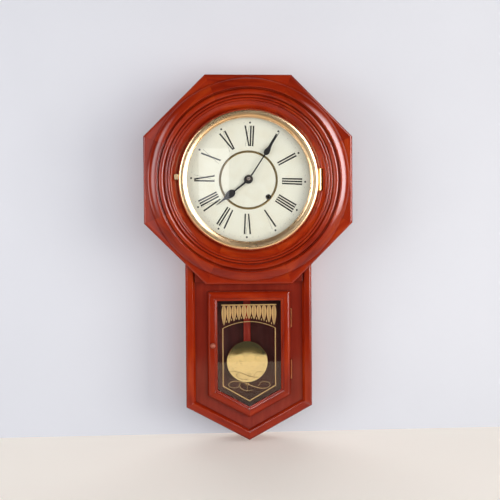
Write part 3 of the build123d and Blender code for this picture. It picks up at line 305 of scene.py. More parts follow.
class EffectBook:
    """Builds each shared effect once, as a node group, and hands it out."""

    # Scales are marks in a metre along X, Y and Z of the place, or along all three.
    BOARD_SHIFT = (2.0, 2.0, 2.0)
    STREAK_SCALE = (7.0, 85.0, 85.0)
    STREAK_SHARE = 0.62
    FIGURE_SCALE = (3.0, 17.0, 17.0)
    RING_COUNT = 7.0
    RING_SHARE = 0.22
    BLOTCH_SCALE = 14.0
    BLOTCH_SHARE = 0.45
    PORE_SCALE = (75.0, 1500.0, 1500.0)
    PORE_SHARE = 0.3
    PORE_HEIGHT = -0.8
    WEAR_SCALE = 60.0
    DUST_SCALE = 220.0
    LAPPED_FRONT = (0.0, -1.0, -0.006)
    BRUSH_SCALE = (60.0, 4200.0, 4200.0)
    SMEAR_SCALE = 42.0
    SMEAR_ROUGHNESS = 0.04
    SPOT_SCALE = 130.0
    SPOT_ROUGHNESS = 0.04

    def opened(self, name: str, inputs: dict[str, Kind], outputs: dict[str, Kind]) -> OpenGroup:
        """Starts a node group with named sockets.

        Args:
            name: the group's name.
            inputs: what each input carries, by its name.
            outputs: what each output carries, by its name.

        Returns:
            A sheet on the new group, the sockets it is given, and the sockets it puts out.
        """
        tree = bpy.data.node_groups.new(name, "ShaderNodeTree")
        for side, sockets in (("INPUT", inputs), ("OUTPUT", outputs)):
            for title, kind in sockets.items():
                tree.interface.new_socket(title, in_out=side, socket_type=kind.value)
        sheet = NodeSheet(tree)
        given = sheet.place("NodeGroupInput").outputs
        return sheet, given, sheet.place("NodeGroupOutput").inputs

    @cache
    def grain(self) -> bpy.types.NodeTree:
        """Wood grain that runs along X of its place, with pores and a tone for each board.

        Returns:
            The node group.
        """
        sheet, given, out = self.opened(
            "wood grain",
            {"Place": Kind.VECTOR, "Board": Kind.NUMBER, "Dark": Kind.COLOUR, "Mid": Kind.COLOUR,
             "Light": Kind.COLOUR},
            {"Color": Kind.COLOUR, "Roughness": Kind.NUMBER, "Height": Kind.NUMBER},
        )
        chance = sheet.place("ShaderNodeTexWhiteNoise", noise_dimensions="1D")
        sheet.put(chance.inputs["W"], given["Board"])
        place = sheet.moved(given["Place"], sheet.scaled(chance.outputs["Color"], self.BOARD_SHIFT))
        streak = sheet.noise(sheet.scaled(place, self.STREAK_SCALE), scale=1.0, detail=5.0, waver=0.5)
        figure = sheet.noise(sheet.scaled(place, self.FIGURE_SCALE), scale=1.0, detail=2.0, waver=1.1)
        rings = sheet.sums("PINGPONG", sheet.sums("MULTIPLY", figure, self.RING_COUNT), 1.0)
        blotch = sheet.noise(place, self.BLOTCH_SCALE, detail=3.0, waver=0.3)
        tone = sheet.sums("MULTIPLY", streak, self.STREAK_SHARE)
        tone = sheet.sums("MULTIPLY_ADD", rings, self.RING_SHARE, tone)
        tone = sheet.sums("MULTIPLY_ADD", blotch, self.BLOTCH_SHARE, tone)
        to_mid = sheet.ranged(tone, low=0.36, high=0.68)
        to_light = sheet.ranged(tone, low=0.62, high=0.92)
        stained = sheet.blended(to_mid, given["Dark"], given["Mid"])
        stained = sheet.blended(to_light, stained, given["Light"])
        pores = sheet.noise(sheet.scaled(place, self.PORE_SCALE), scale=1.0, detail=1.0)
        pores = sheet.ranged(pores, low=0.58, high=0.72)
        stained = sheet.blended(sheet.sums("MULTIPLY", pores, self.PORE_SHARE), stained, given["Dark"])
        board = sheet.place("ShaderNodeHueSaturation")
        sheet.put(board.inputs["Color"], stained)
        brightness = sheet.ranged(chance.outputs["Value"], low=0.0, high=1.0, start=0.93, end=1.07)
        sheet.put(board.inputs["Value"], brightness)
        sheet.put(out["Color"], board.outputs[0])
        sheet.put(out["Roughness"], sheet.ranged(streak, low=0.3, high=0.7, start=0.34, end=0.48))
        sheet.put(out["Height"], sheet.sums("MULTIPLY_ADD", pores, self.PORE_HEIGHT, streak))
        return sheet.tree

    @cache
    def hollow(self) -> bpy.types.NodeTree:
        """Painted shade in hollows, found by occlusion: the colour darkens toward a deep tone, which also
        stands for stain gathered there.

        Returns:
            The node group.
        """
        sheet, given, out = self.opened(
            "painted shade and stain in hollows",
            {"Color": Kind.COLOUR, "Deep": Kind.COLOUR, "Reach": Kind.NUMBER, "Amount": Kind.NUMBER},
            {"Color": Kind.COLOUR, "Hollow": Kind.NUMBER},
        )
        # Occlusion finds the hollows that the painted shade darkens.
        open_air = sheet.place("ShaderNodeAmbientOcclusion", samples=6)
        sheet.put(open_air.inputs["Distance"], given["Reach"])
        closed = sheet.ranged(open_air.outputs["AO"], low=0.3, high=0.92, start=1.0, end=0.0)
        share = sheet.sums("MULTIPLY", closed, given["Amount"])
        sheet.put(out["Color"], sheet.blended(share, given["Color"], given["Deep"]))
        sheet.put(out["Hollow"], closed)
        return sheet.tree

    @cache
    def rubbed(self) -> bpy.types.NodeTree:
        """Edges that hands and cloths have rubbed.

        Returns:
            The node group.
        """
        sheet, given, out = self.opened(
            "rubbed edges", {"Radius": Kind.NUMBER}, {"Edge": Kind.NUMBER, "Corner": Kind.NUMBER})
        rounded = sheet.place("ShaderNodeBevel", samples=4)
        sheet.put(rounded.inputs["Radius"], given["Radius"])
        shape = sheet.place("ShaderNodeNewGeometry")
        lean = sheet.place("ShaderNodeVectorMath", operation="DOT_PRODUCT")
        sheet.put(lean.inputs[0], rounded.outputs[0])
        sheet.put(lean.inputs[1], shape.outputs["Normal"])
        corner = sheet.ranged(lean.outputs["Value"], low=0.8, high=0.985, start=1.0, end=0.0)
        patch = sheet.noise(shape.outputs["Position"], self.WEAR_SCALE, detail=4.0)
        patch = sheet.ranged(patch, low=0.38, high=0.62)
        sheet.put(out["Edge"], sheet.sums("MULTIPLY", corner, patch))
        sheet.put(out["Corner"], corner)
        return sheet.tree

    @cache
    def dust(self) -> bpy.types.NodeTree:
        """Thin dust on faces that look up.

        Returns:
            The node group.
        """
        sheet, given, out = self.opened("settled dust", {"Amount": Kind.NUMBER}, {"Dust": Kind.NUMBER})
        shape = sheet.place("ShaderNodeNewGeometry")
        up = sheet.parts(shape.outputs["Normal"])[2]
        patch = sheet.noise(shape.outputs["Position"], self.DUST_SCALE, detail=4.0)
        patch = sheet.ranged(patch, low=0.3, high=0.75, start=0.35, end=1.0)
        flat = sheet.ranged(up, low=0.85, high=0.99)
        settled = sheet.sums("MULTIPLY", flat, patch)
        sheet.put(out["Dust"], sheet.sums("MULTIPLY", settled, given["Amount"]))
        return sheet.tree

    @cache
    def levelled(self) -> bpy.types.NodeTree:
        """Front face that a flat lap has levelled, so that it mirrors almost as a flat disc does.

        Returns:
            The node group.
        """
        sheet, given, out = self.opened(
            "lapped front", {"Normal": Kind.VECTOR, "Share": Kind.NUMBER}, {"Normal": Kind.VECTOR})
        shape = sheet.place("ShaderNodeNewGeometry")
        ahead = sheet.sums("MULTIPLY", sheet.parts(shape.outputs["True Normal"])[1], -1.0)
        level = sheet.ranged(ahead, low=0.7, high=0.9)
        share = sheet.sums("MULTIPLY", level, given["Share"])
        front = sheet.place("ShaderNodeVectorTransform", vector_type="NORMAL", convert_from="OBJECT",
                            convert_to="WORLD")
        sheet.put(front.inputs[0], self.LAPPED_FRONT)
        mixed = sheet.chosen(share, given["Normal"], front.outputs[0])
        unit = sheet.place("ShaderNodeVectorMath", operation="NORMALIZE")
        sheet.put(unit.inputs[0], mixed)
        sheet.put(out["Normal"], unit.outputs[0])
        return sheet.tree

    @cache
    def polish(self) -> bpy.types.NodeTree:
        """Fine brushed lines along X of its place, smears and light tarnish on metal.

        Returns:
            The node group.
        """
        sheet, given, out = self.opened(
            "polish marks",
            {"Place": Kind.VECTOR, "Rough": Kind.NUMBER},
            {"Roughness": Kind.NUMBER, "Height": Kind.NUMBER, "Tarnish": Kind.NUMBER},
        )
        lines = sheet.noise(sheet.scaled(given["Place"], self.BRUSH_SCALE), scale=1.0, detail=3.0)
        smear = sheet.noise(given["Place"], self.SMEAR_SCALE, detail=4.0, waver=0.6)
        spots = sheet.noise(given["Place"], self.SPOT_SCALE, detail=5.0, waver=0.3)
        spots = sheet.ranged(spots, low=0.54, high=0.76)
        smear = sheet.ranged(smear, low=0.35, high=0.7)
        rough = sheet.sums("MULTIPLY_ADD", smear, self.SMEAR_ROUGHNESS, given["Rough"])
        sheet.put(out["Roughness"], sheet.sums("MULTIPLY_ADD", spots, self.SPOT_ROUGHNESS, rough))
        sheet.put(out["Height"], lines)
        sheet.put(out["Tarnish"], spots)
        return sheet.tree


class GrainRun(Enum):
    """How the grain of a board lies."""

    UPRIGHT = "upright"
    ACROSS = "across"
    FOOT = "foot"
    OCTAGON = "octagon"
    RAILS = "rails"


class Flag(Enum):
    """Whether a window's glare is kept off some pieces or on them only."""

    OFF = "EXCLUDE"
    ONLY = "INCLUDE"


class MetalMarks(Enum):
    """Which way the marks on a metal run."""

    ACROSS = "across"
    TURNED_ARBOR = "turned about the arbor"
    TURNED_BOB = "turned about the bob"


@dataclass(frozen=True)
class BoardPlace:
    """A point of a board, with X along the grain, its board's number, and its distance from a mitre."""

    vector: Socket
    board: Value
    mitre: Optional[Socket]


@dataclass(frozen=True)
class BoardPlan:
    """Finds where a point lies on its board from the run of the grain."""

    # Numbers that set the boards of one piece apart.
    FOOT_NUMBER = 3.0
    LOWER_RAIL_NUMBER = 4.0
    TOP_RAIL_NUMBER = 9.0
    SEGMENTS = 8.0

    run: GrainRun
    seed: float

    def found(self, sheet: NodeSheet) -> BoardPlace:
        """Places the nodes that find it.

        Args:
            sheet: the material's sheet.

        Returns:
            The point along its board.
        """
        x, y, z = sheet.parts(sheet.spot())
        if self.run is GrainRun.UPRIGHT:
            return BoardPlace(sheet.joined(z, x, y), self.seed, None)
        if self.run is GrainRun.ACROSS:
            return BoardPlace(sheet.joined(x, z, y), self.seed, None)
        if self.run is GrainRun.FOOT:
            return self.on_foot(sheet, x, y, z)
        if self.run is GrainRun.OCTAGON:
            return self.on_octagon(sheet, x, y, z)
        return self.on_rails(sheet, x, y, z)

    def sloped(self, sheet: NodeSheet, x: Socket, y: Socket, z: Socket) -> Socket:
        """Finds the point along the two sloping boards of the foot, which mirror each other.

        Args:
            sheet: the material's sheet.
            x: the point's X.
            y: the point's Y.
            z: the point's Z.

        Returns:
            The point, with X along the slope.
        """
        side = sheet.sums("ABSOLUTE", x)
        level = sheet.sums("MULTIPLY", z, math.sin(FOOT_SLOPE))
        along = sheet.sums("MULTIPLY_ADD", side, math.cos(FOOT_SLOPE), level)
        rise = sheet.sums("MULTIPLY", z, math.cos(FOOT_SLOPE))
        return sheet.joined(along, sheet.sums("MULTIPLY_ADD", side, -math.sin(FOOT_SLOPE), rise), y)

    def on_foot(self, sheet: NodeSheet, x: Socket, y: Socket, z: Socket) -> BoardPlace:
        """Finds the point on the two boards of the foot, which meet at the middle."""
        board = sheet.sums("MULTIPLY_ADD", sheet.sums("SIGN", x), self.FOOT_NUMBER, self.seed)
        return BoardPlace(self.sloped(sheet, x, y, z), board, sheet.sums("ABSOLUTE", x))

    def on_octagon(self, sheet: NodeSheet, x: Socket, y: Socket, z: Socket) -> BoardPlace:
        """Finds the point on one of the eight segments, whose grain runs along the outer edge.

        Args:
            sheet: the material's sheet.
            x: the point's X.
            y: the point's Y.
            z: the point's Z.

        Returns:
            The point along its segment.
        """
        up = sheet.sums("ADD", z, ARBOR_DROP * MM)
        eighth = math.pi / 4.0
        side = sheet.sums("ROUND", sheet.sums("DIVIDE", sheet.sums("ARCTAN2", x, up), eighth))
        angle = sheet.sums("MULTIPLY", side, eighth)
        sine = sheet.sums("SINE", angle)
        cosine = sheet.sums("COSINE", angle)
        along = sheet.sums("SUBTRACT", sheet.sums("MULTIPLY", x, cosine), sheet.sums("MULTIPLY", up, sine))
        outward = sheet.sums("ADD", sheet.sums("MULTIPLY", x, sine), sheet.sums("MULTIPLY", up, cosine))
        board = sheet.sums("FLOORED_MODULO", sheet.sums("ADD", side, self.SEGMENTS), self.SEGMENTS)
        board = sheet.sums("ADD", board, self.seed)
        half = sheet.sums("MULTIPLY", outward, math.tan(eighth / 2.0))
        mitre = sheet.sums("SUBTRACT", half, sheet.sums("ABSOLUTE", along))
        return BoardPlace(sheet.joined(along, outward, y), board, mitre)

    def on_rails(self, sheet: NodeSheet, x: Socket, y: Socket, z: Socket) -> BoardPlace:
        """Finds the point on the door's top rail, stiles or two lower rails, whichever edge is nearest.

        Args:
            sheet: the material's sheet.
            x: the point's X.
            y: the point's Y.
            z: the point's Z.

        Returns:
            The point along its rail.
        """
        low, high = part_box("door_frame")
        side = sheet.sums("SUBTRACT", high.x, sheet.sums("ABSOLUTE", x))
        top = sheet.sums("SUBTRACT", high.z, z)
        slope = sheet.sums("MULTIPLY_ADD", sheet.sums("ABSOLUTE", x), -math.tan(FOOT_SLOPE), z)
        foot = sheet.sums("MULTIPLY", sheet.sums("SUBTRACT", slope, low.z), math.cos(FOOT_SLOPE))
        on_top = sheet.sums("LESS_THAN", top, side)
        on_foot = sheet.sums("LESS_THAN", foot, side)
        vector = sheet.chosen(on_top, sheet.joined(z, x, y), sheet.joined(x, z, y))
        vector = sheet.chosen(on_foot, vector, self.sloped(sheet, x, y, z))
        below_top = sheet.sums("SUBTRACT", 1.0, on_top)
        board = sheet.sums("MULTIPLY_ADD", sheet.sums("SIGN", x), below_top, self.seed)
        board = sheet.sums("MULTIPLY_ADD", on_foot, self.LOWER_RAIL_NUMBER, board)
        board = sheet.sums("MULTIPLY_ADD", on_top, self.TOP_RAIL_NUMBER, board)
        mitre = sheet.sums("MINIMUM", sheet.sums("ABSOLUTE", sheet.sums("SUBTRACT", top, side)),
                           sheet.sums("ABSOLUTE", sheet.sums("SUBTRACT", foot, side)))
        middle = sheet.sums("ADD", sheet.sums("ABSOLUTE", x), sheet.sums("SUBTRACT", 1.0, on_foot))
        return BoardPlace(vector, board, sheet.sums("MINIMUM", mitre, middle))


def bare_material(name: str) -> tuple[bpy.types.Material, NodeSheet]:
    """Starts a material with no node.

    Args:
        name: its name.

    Returns:
        The material, and a sheet on its nodes.
    """
    made = bpy.data.materials.new(name)
    made.use_nodes = True
    made.node_tree.nodes.clear()
    return made, NodeSheet(made.node_tree)


def new_material(name: str) -> tuple[bpy.types.Material, NodeSheet, bpy.types.Node]:
    """Starts a material with one Principled shader.

    Args:
        name: the finish's name.

    Returns:
        The material, a sheet on its nodes, and the shader.
    """
    made, sheet = bare_material(name)
    shader = sheet.place("ShaderNodeBsdfPrincipled")
    sheet.put(sheet.place("ShaderNodeOutputMaterial").inputs["Surface"], shader.outputs[0])
    return made, sheet, shader


def let_through(sheet: NodeSheet, shader: bpy.types.Node, share: Value) -> None:
    """Mixes a material's shader with clear space, through which rays pass straight on.

    Args:
        sheet: the material's sheet.
        shader: what the other rays meet.
        share: how many of the rays pass.
    """
    clear = sheet.place("ShaderNodeBsdfTransparent")
    both = sheet.place("ShaderNodeMixShader")
    sheet.put(both.inputs[0], share)
    sheet.put(both.inputs[1], shader.outputs[0])
    sheet.put(both.inputs[2], clear.outputs[0])
    out = next(node for node in sheet.tree.nodes if node.type == "OUTPUT_MATERIAL")
    sheet.put(out.inputs["Surface"], both.outputs[0])


@dataclass(frozen=True)
class Lacquer:
    """Stained wood under a semi-gloss lacquer.

    Painted shade and stain darken the hollows by their own share, and the gloss rounds each arris by the
    radius eased.
    """

    name: str
    run: GrainRun
    seed: float
    dark: Colour = colour(122, 23, 4)
    mid: Colour = colour(151, 38, 7)
    light: Colour = colour(171, 56, 13)
    deep: Colour = colour(58, 7, 3)
    gloss: float = 0.1
    # Share of painted shade, with stain, in the hollows.
    hollow_shade_and_stain: float = 0.7
    eased: float = 0.0014
    reach: float = 0.009
    mitre_width: float = 0.0005
    mitre_share: float = 0.4
    rub_radius: float = 0.0012
    rub_share: float = 0.2
    dust: float = 0.22
    dust_tone: Colour = colour(176, 164, 152)
    dust_roughness: float = 0.3
    relief: float = 0.12
    pore_depth: float = 0.0004
    coat_index: float = 1.4

    def polished(self, sheet: NodeSheet, hollow: Socket, corner: Socket) -> Socket:
        """Finds how much gloss shows: less in hollows, at corners and on faces that look aside.

        Args:
            sheet: the material's sheet.
            hollow: mask of the hollows.
            corner: mask of the corners.

        Returns:
            The weight of the coat.
        """
        ahead = sheet.sums("MULTIPLY", sheet.facing(), -1.0)
        open_part = sheet.ranged(hollow, low=0.3, high=0.9, start=1.0, end=0.15)
        front_part = sheet.ranged(ahead, low=0.2, high=0.75, start=0.25, end=1.0)
        flat_part = sheet.ranged(corner, low=0.0, high=0.6, start=1.0, end=0.4)
        return sheet.sums("MULTIPLY", sheet.sums("MULTIPLY", open_part, front_part), flat_part)

    def made(self, book: EffectBook) -> bpy.types.Material:
        """Builds the material.

        Args:
            book: the shared effects.

        Returns:
            The material.
        """
        material, sheet, shader = new_material(self.name)
        board = BoardPlan(self.run, self.seed).found(sheet)
        grain = sheet.effect(book.grain(), Place=board.vector, Board=board.board,
                             Dark=self.dark, Mid=self.mid, Light=self.light)
        stained = grain.outputs["Color"]
        if board.mitre is not None:
            line = sheet.ranged(board.mitre, low=0.0, high=self.mitre_width, start=self.mitre_share, end=0.0)
            stained = sheet.blended(line, stained, self.deep)
        # Painted shade: the stain darkens toward deep in the hollows that occlusion finds.
        hollow = sheet.effect(book.hollow(), Color=stained, Deep=self.deep, Reach=self.reach,
                              Amount=self.hollow_shade_and_stain)
        edge = sheet.effect(book.rubbed(), Radius=self.rub_radius)
        rubbed = sheet.sums("MULTIPLY", edge.outputs["Edge"], self.rub_share)
        worn = sheet.blended(rubbed, hollow.outputs["Color"], self.light)
        dust = sheet.effect(book.dust(), Amount=self.dust).outputs["Dust"]
        sheet.put(shader.inputs["Base Color"], sheet.blended(dust, worn, self.dust_tone))
        rough = sheet.sums("MULTIPLY_ADD", dust, self.dust_roughness, grain.outputs["Roughness"])
        sheet.put(shader.inputs["Roughness"], rough)
        normal = sheet.bumped(grain.outputs["Height"], self.relief, self.pore_depth)
        sheet.put(shader.inputs["Normal"], normal)
        shader.inputs["Specular IOR Level"].default_value = 0.0
        polished = self.polished(sheet, hollow.outputs["Hollow"], edge.outputs["Corner"])
        sheet.put(shader.inputs["Coat Weight"], polished)
        if self.eased:
            arris = sheet.place("ShaderNodeBevel", samples=8)
            arris.inputs["Radius"].default_value = self.eased
            sheet.put(shader.inputs["Coat Normal"], arris.outputs[0])
        shader.inputs["Coat Roughness"].default_value = self.gloss
        shader.inputs["Coat IOR"].default_value = self.coat_index
        return material


@dataclass(frozen=True)
class BackBoard:
    """Plywood: dark stain on the side that faces the pendulum, bare birch outside, plies at its edges."""

    name: str = "back_ply_finish"
    seed: float = 41.0
    stain: Colour = colour(68, 9, 5)
    stain_light: Colour = colour(88, 18, 8)
    bare: Colour = colour(190, 150, 104)
    bare_dark: Colour = colour(150, 108, 68)
    bare_light: Colour = colour(206, 172, 126)
    glue_line: Colour = colour(112, 76, 46)
    deep: Colour = colour(30, 14, 10)
    glue_share: float = 0.65
    ply: float = 0.0012
    front_limit: float = -0.5
    reach: float = 0.006
    hollow_shade_and_stain: float = 0.5
    relief: float = 0.25
    pore_depth: float = 0.0004
    streak_scale: Place = (60.0, 60.0, 6.0)

    def made(self, book: EffectBook) -> bpy.types.Material:
        """Builds the material.

        Args:
            book: the shared effects.

        Returns:
            The material.
        """
        material, sheet, shader = new_material(self.name)
        board = BoardPlan(GrainRun.UPRIGHT, self.seed).found(sheet)
        birch = sheet.effect(book.grain(), Place=board.vector, Board=self.seed,
                             Dark=self.bare_dark, Mid=self.bare, Light=self.bare_light)
        shape = sheet.place("ShaderNodeNewGeometry")
        facing = sheet.facing()
        depth = sheet.parts(sheet.spot())[1]
        ply = sheet.sums("PINGPONG", sheet.sums("MULTIPLY", depth, 1.0 / self.ply), 1.0)
        edge = sheet.ranged(sheet.sums("ABSOLUTE", facing), low=0.3, high=0.7, start=1.0, end=0.0)
        glue = sheet.ranged(ply, low=0.35, high=0.65, start=0.0, end=self.glue_share)
        stripe = sheet.sums("MULTIPLY", edge, glue)
        outside = sheet.blended(stripe, birch.outputs["Color"], self.glue_line)
        inside = sheet.sums("LESS_THAN", facing, self.front_limit)
        spread = sheet.scaled(shape.outputs["Position"], self.streak_scale)
        streak = sheet.noise(spread, scale=1.0, detail=4.0)
        streak = sheet.ranged(streak, low=0.3, high=0.7)
        stained = sheet.blended(streak, self.stain, self.stain_light)
        both = sheet.blended(inside, outside, stained)
        # Painted shade: darker toward deep in the hollows that occlusion finds.
        hollow = sheet.effect(book.hollow(), Color=both, Deep=self.deep, Reach=self.reach, Amount=self.hollow_shade_and_stain)
        sheet.put(shader.inputs["Base Color"], hollow.outputs["Color"])
        rough = sheet.ranged(birch.outputs["Roughness"], low=0.34, high=0.48, start=0.5, end=0.68)
        sheet.put(shader.inputs["Roughness"], rough)
        normal = sheet.bumped(birch.outputs["Height"], self.relief, self.pore_depth)
        sheet.put(shader.inputs["Normal"], normal)
        return material


@dataclass(frozen=True)
class Metal:
    """Polished or brushed metal with smears, light tarnish and painted shade in its hollows."""

    # Length along turned marks for one radian, in metres.
    TURN_LENGTH = 0.02

    name: str
    face: Colour
    tarnish: Colour
    rough: float
    marks: MetalMarks = MetalMarks.ACROSS
    relief: float = 0.05
    hollow_shade_and_stain: float = 0.45
    reach: float = 0.003
    level: float = 0.0
    coat: float = 0.0
    coat_roughness: float = 0.3
    tarnish_share: float = 0.35
    line_depth: float = 0.0002

    def place(self, sheet: NodeSheet) -> Socket:
        """Finds the point on the metal, with X along its marks.

        Args:
            sheet: the material's sheet.

        Returns:
            The point.
        """
        x, y, z = sheet.parts(sheet.spot())
        if self.marks is MetalMarks.ACROSS:
            return sheet.joined(x, z, y)
        low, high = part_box("bob")
        middle = (low.z + high.z) / 2.0 if self.marks is MetalMarks.TURNED_BOB else -ARBOR_DROP * MM
        up = sheet.sums("SUBTRACT", z, middle)
        radius = sheet.sums("SQRT", sheet.sums("MULTIPLY_ADD", x, x, sheet.sums("MULTIPLY", up, up)))
        turn = sheet.sums("MULTIPLY", sheet.sums("ARCTAN2", x, up), self.TURN_LENGTH)
        return sheet.joined(turn, radius, y)

    def made(self, book: EffectBook) -> bpy.types.Material:
        """Builds the material.

        Args:
            book: the shared effects.

        Returns:
            The material.
        """
        material, sheet, shader = new_material(self.name)
        marks = sheet.effect(book.polish(), Place=self.place(sheet), Rough=self.rough)
        dulled = sheet.sums("MULTIPLY", marks.outputs["Tarnish"], self.tarnish_share)
        tone = sheet.blended(dulled, self.face, self.tarnish)
        # Painted shade, partly tarnish: darker toward the tarnish colour in hollows that occlusion finds.
        hollow = sheet.effect(book.hollow(), Color=tone, Deep=self.tarnish, Reach=self.reach,
                              Amount=self.hollow_shade_and_stain)
        sheet.put(shader.inputs["Base Color"], hollow.outputs["Color"])
        sheet.put(shader.inputs["Roughness"], marks.outputs["Roughness"])
        normal = sheet.bumped(marks.outputs["Height"], self.relief, self.line_depth)
        if self.level > 0.0:
            normal = sheet.effect(book.levelled(), Normal=normal, Share=self.level).outputs["Normal"]
        sheet.put(shader.inputs["Normal"], normal)
        shader.inputs["Metallic"].default_value = 1.0
        shader.inputs["Coat Weight"].default_value = self.coat
        shader.inputs["Coat Roughness"].default_value = self.coat_roughness
        return material


@dataclass(frozen=True)
class Paint:
    """Paint or printing ink with slight mottling and painted shade in its hollows, and bare cut edges if
    named, which on the dial are dark as painted shade inside its holes.
    """

    name: str
    face: Colour
    aged: Colour
    rough: float
    metallic: float = 0.0
    coat: float = 0.0
    bare: Optional[Colour] = None
    coat_roughness: float = 0.15
    mottle_scale: float = 38.0
    mottle_share: float = 0.55
    smoother: float = 0.05
    rougher: float = 0.07
    reach: float = 0.004
    hollow_shade_and_stain: float = 0.6
    peel_scale: float = 900.0
    peel: float = 0.06
    peel_depth: float = 0.0002

    def made(self, book: EffectBook) -> bpy.types.Material:
        """Builds the material.

        Args:
            book: the shared effects.

        Returns:
            The material.
        """
        material, sheet, shader = new_material(self.name)
        place = sheet.spot()
        mottle = sheet.noise(place, self.mottle_scale, detail=5.0, waver=0.4)
        age = sheet.ranged(mottle, low=0.4, high=0.75, start=0.0, end=self.mottle_share)
        tone = sheet.blended(age, self.face, self.aged)
        # Cut edges take the bare tone; on the dial it is dark, as painted shade on the walls of its holes.
        if self.bare is not None:
            facing = sheet.sums("ABSOLUTE", sheet.facing())
            cut = sheet.ranged(facing, low=0.3, high=0.7, start=1.0, end=0.0)
            tone = sheet.blended(cut, tone, self.bare)
        # Painted shade: darker toward the aged tone in hollows that occlusion finds.
        hollow = sheet.effect(book.hollow(), Color=tone, Deep=self.aged, Reach=self.reach, Amount=self.hollow_shade_and_stain)
        sheet.put(shader.inputs["Base Color"], hollow.outputs["Color"])
        rough = sheet.ranged(mottle, low=0.3, high=0.7, start=self.rough - self.smoother,
                             end=self.rough + self.rougher)
        sheet.put(shader.inputs["Roughness"], rough)
        peel = sheet.noise(place, self.peel_scale, detail=2.0)
        sheet.put(shader.inputs["Normal"], sheet.bumped(peel, self.peel, self.peel_depth))
        shader.inputs["Metallic"].default_value = self.metallic
        shader.inputs["Coat Weight"].default_value = self.coat
        shader.inputs["Coat Roughness"].default_value = self.coat_roughness
        return material


@dataclass(frozen=True)
class ClearGlass:
    """Window glass with faint smears, which lets light through to what is behind it."""

    name: str = "clear_glass"
    tint: Colour = (0.985, 0.99, 0.985, 1.0)
    index: float = 1.46
    smear_scale: Place = (18.0, 18.0, 9.0)
    smear_roughness: float = 0.03

    def made(self, book: EffectBook) -> bpy.types.Material:
        """Builds the material.

        Args:
            book: the shared effects, none of which glass shows.

        Returns:
            The material.
        """
        material, sheet, shader = new_material(self.name)
        smear = sheet.noise(sheet.scaled(sheet.spot(), self.smear_scale), scale=1.0, detail=4.0, waver=0.8)
        rough = sheet.ranged(smear, low=0.45, high=0.8, start=0.0, end=self.smear_roughness)
        sheet.put(shader.inputs["Roughness"], rough)
        shader.inputs["Base Color"].default_value = self.tint
        shader.inputs["Transmission Weight"].default_value = 1.0
        shader.inputs["IOR"].default_value = self.index
        rays = sheet.place("ShaderNodeLightPath")
        passed = sheet.sums("MAXIMUM", rays.outputs["Is Shadow Ray"], rays.outputs["Is Diffuse Ray"])
        let_through(sheet, shader, passed)
        return material


Finish = Union[Lacquer, BackBoard, Metal, Paint, ClearGlass]


class Finishes:
    """Every finish of the clock, built once and put on pieces."""

    def __init__(self) -> None:
        """Starts with no finish built."""
        self.book = EffectBook()
        self.built: dict[str, bpy.types.Material] = {}

    def dress(self, piece: bpy.types.Object, finish: Finish) -> None:
        """Puts a finish on a piece.

        Args:
            piece: a CAD node's object or a piece of this file.
            finish: what it is finished with.
        """
        if finish.name not in self.built:
            self.built[finish.name] = finish.made(self.book)
        slots = piece.data.materials
        if len(slots) == 0:
            slots.append(self.built[finish.name])
        for index in range(len(slots)):
            slots[index] = self.built[finish.name]
        log.info("%s: %s", piece.name, finish.name)

    def dress_nodes(self, finish: Finish, *names: str) -> None:
        """Puts a finish on CAD nodes by name."""
        for name in names:
            self.dress(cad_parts[name], finish)


BRASS = Metal("polished_brass", colour(233, 200, 142), colour(150, 108, 56), rough=0.16)
BEZEL_BRASS = Metal("spun_bezel_brass", colour(248, 212, 162), colour(178, 122, 70), rough=0.26,
                    marks=MetalMarks.TURNED_ARBOR, relief=0.0, hollow_shade_and_stain=0.6, reach=0.006, coat=1.0)
BOB_BRASS = Metal("spun_bob_brass", colour(255, 242, 187), colour(210, 178, 112), rough=0.03,
                  marks=MetalMarks.TURNED_BOB, relief=0.01, hollow_shade_and_stain=0.1, level=0.96)
RING_GILT = Metal("gilt_ring", colour(180, 158, 108), colour(108, 84, 48), rough=0.3,
                  marks=MetalMarks.TURNED_ARBOR, relief=0.02, coat=1.0)
HINGE_BRASS = Metal("aged_hinge_brass", colour(226, 158, 116), colour(150, 84, 52), rough=0.34)
MOVEMENT_BRASS = Metal("movement_brass_brushed", colour(214, 178, 104), colour(140, 104, 52), rough=0.3,
                       relief=0.12)
STEEL = Metal("bright_steel", colour(190, 192, 196), colour(104, 98, 92), rough=0.26, relief=0.1)
NUT_STEEL = Metal("satin_nut_steel", colour(240, 228, 226), colour(176, 146, 138), rough=0.56)
# Painted shade: the winding arbor's steel is dark because it stands in the shade inside the winding hole.
SHADED_ARBOR_STEEL = Metal("arbor_steel_painted_shade", colour(74, 66, 54), colour(44, 36, 28), rough=0.4)
BLUED_STEEL = Metal("spring_steel", colour(92, 98, 116), colour(52, 44, 60), rough=0.24)
HAND_BLACK = Paint("hand_black_paint", colour(30, 30, 33), colour(20, 20, 22), rough=0.5)
# The dial's dark bare tone is painted shade on the walls of its holes.
DIAL_CREAM = Paint("dial_cream_paint", colour(238, 236, 214), colour(228, 222, 194), rough=0.42, coat=0.15,
                   bare=colour(66, 52, 30))
DIAL_INK = Paint("dial_black_ink", colour(22, 21, 16), colour(34, 32, 25), rough=0.55)
GOLD_LEAF = Paint("glass_gilding", colour(220, 180, 120), colour(190, 148, 90), rough=0.42, metallic=0.4)
GLASS = ClearGlass()


def from_arbor(place: Sequence[float]) -> Vector:
    """Turns a place in millimetres from the arbor into metres of the row frame."""
    return Vector((place[0], place[1], place[2] - ARBOR_DROP)) * MM


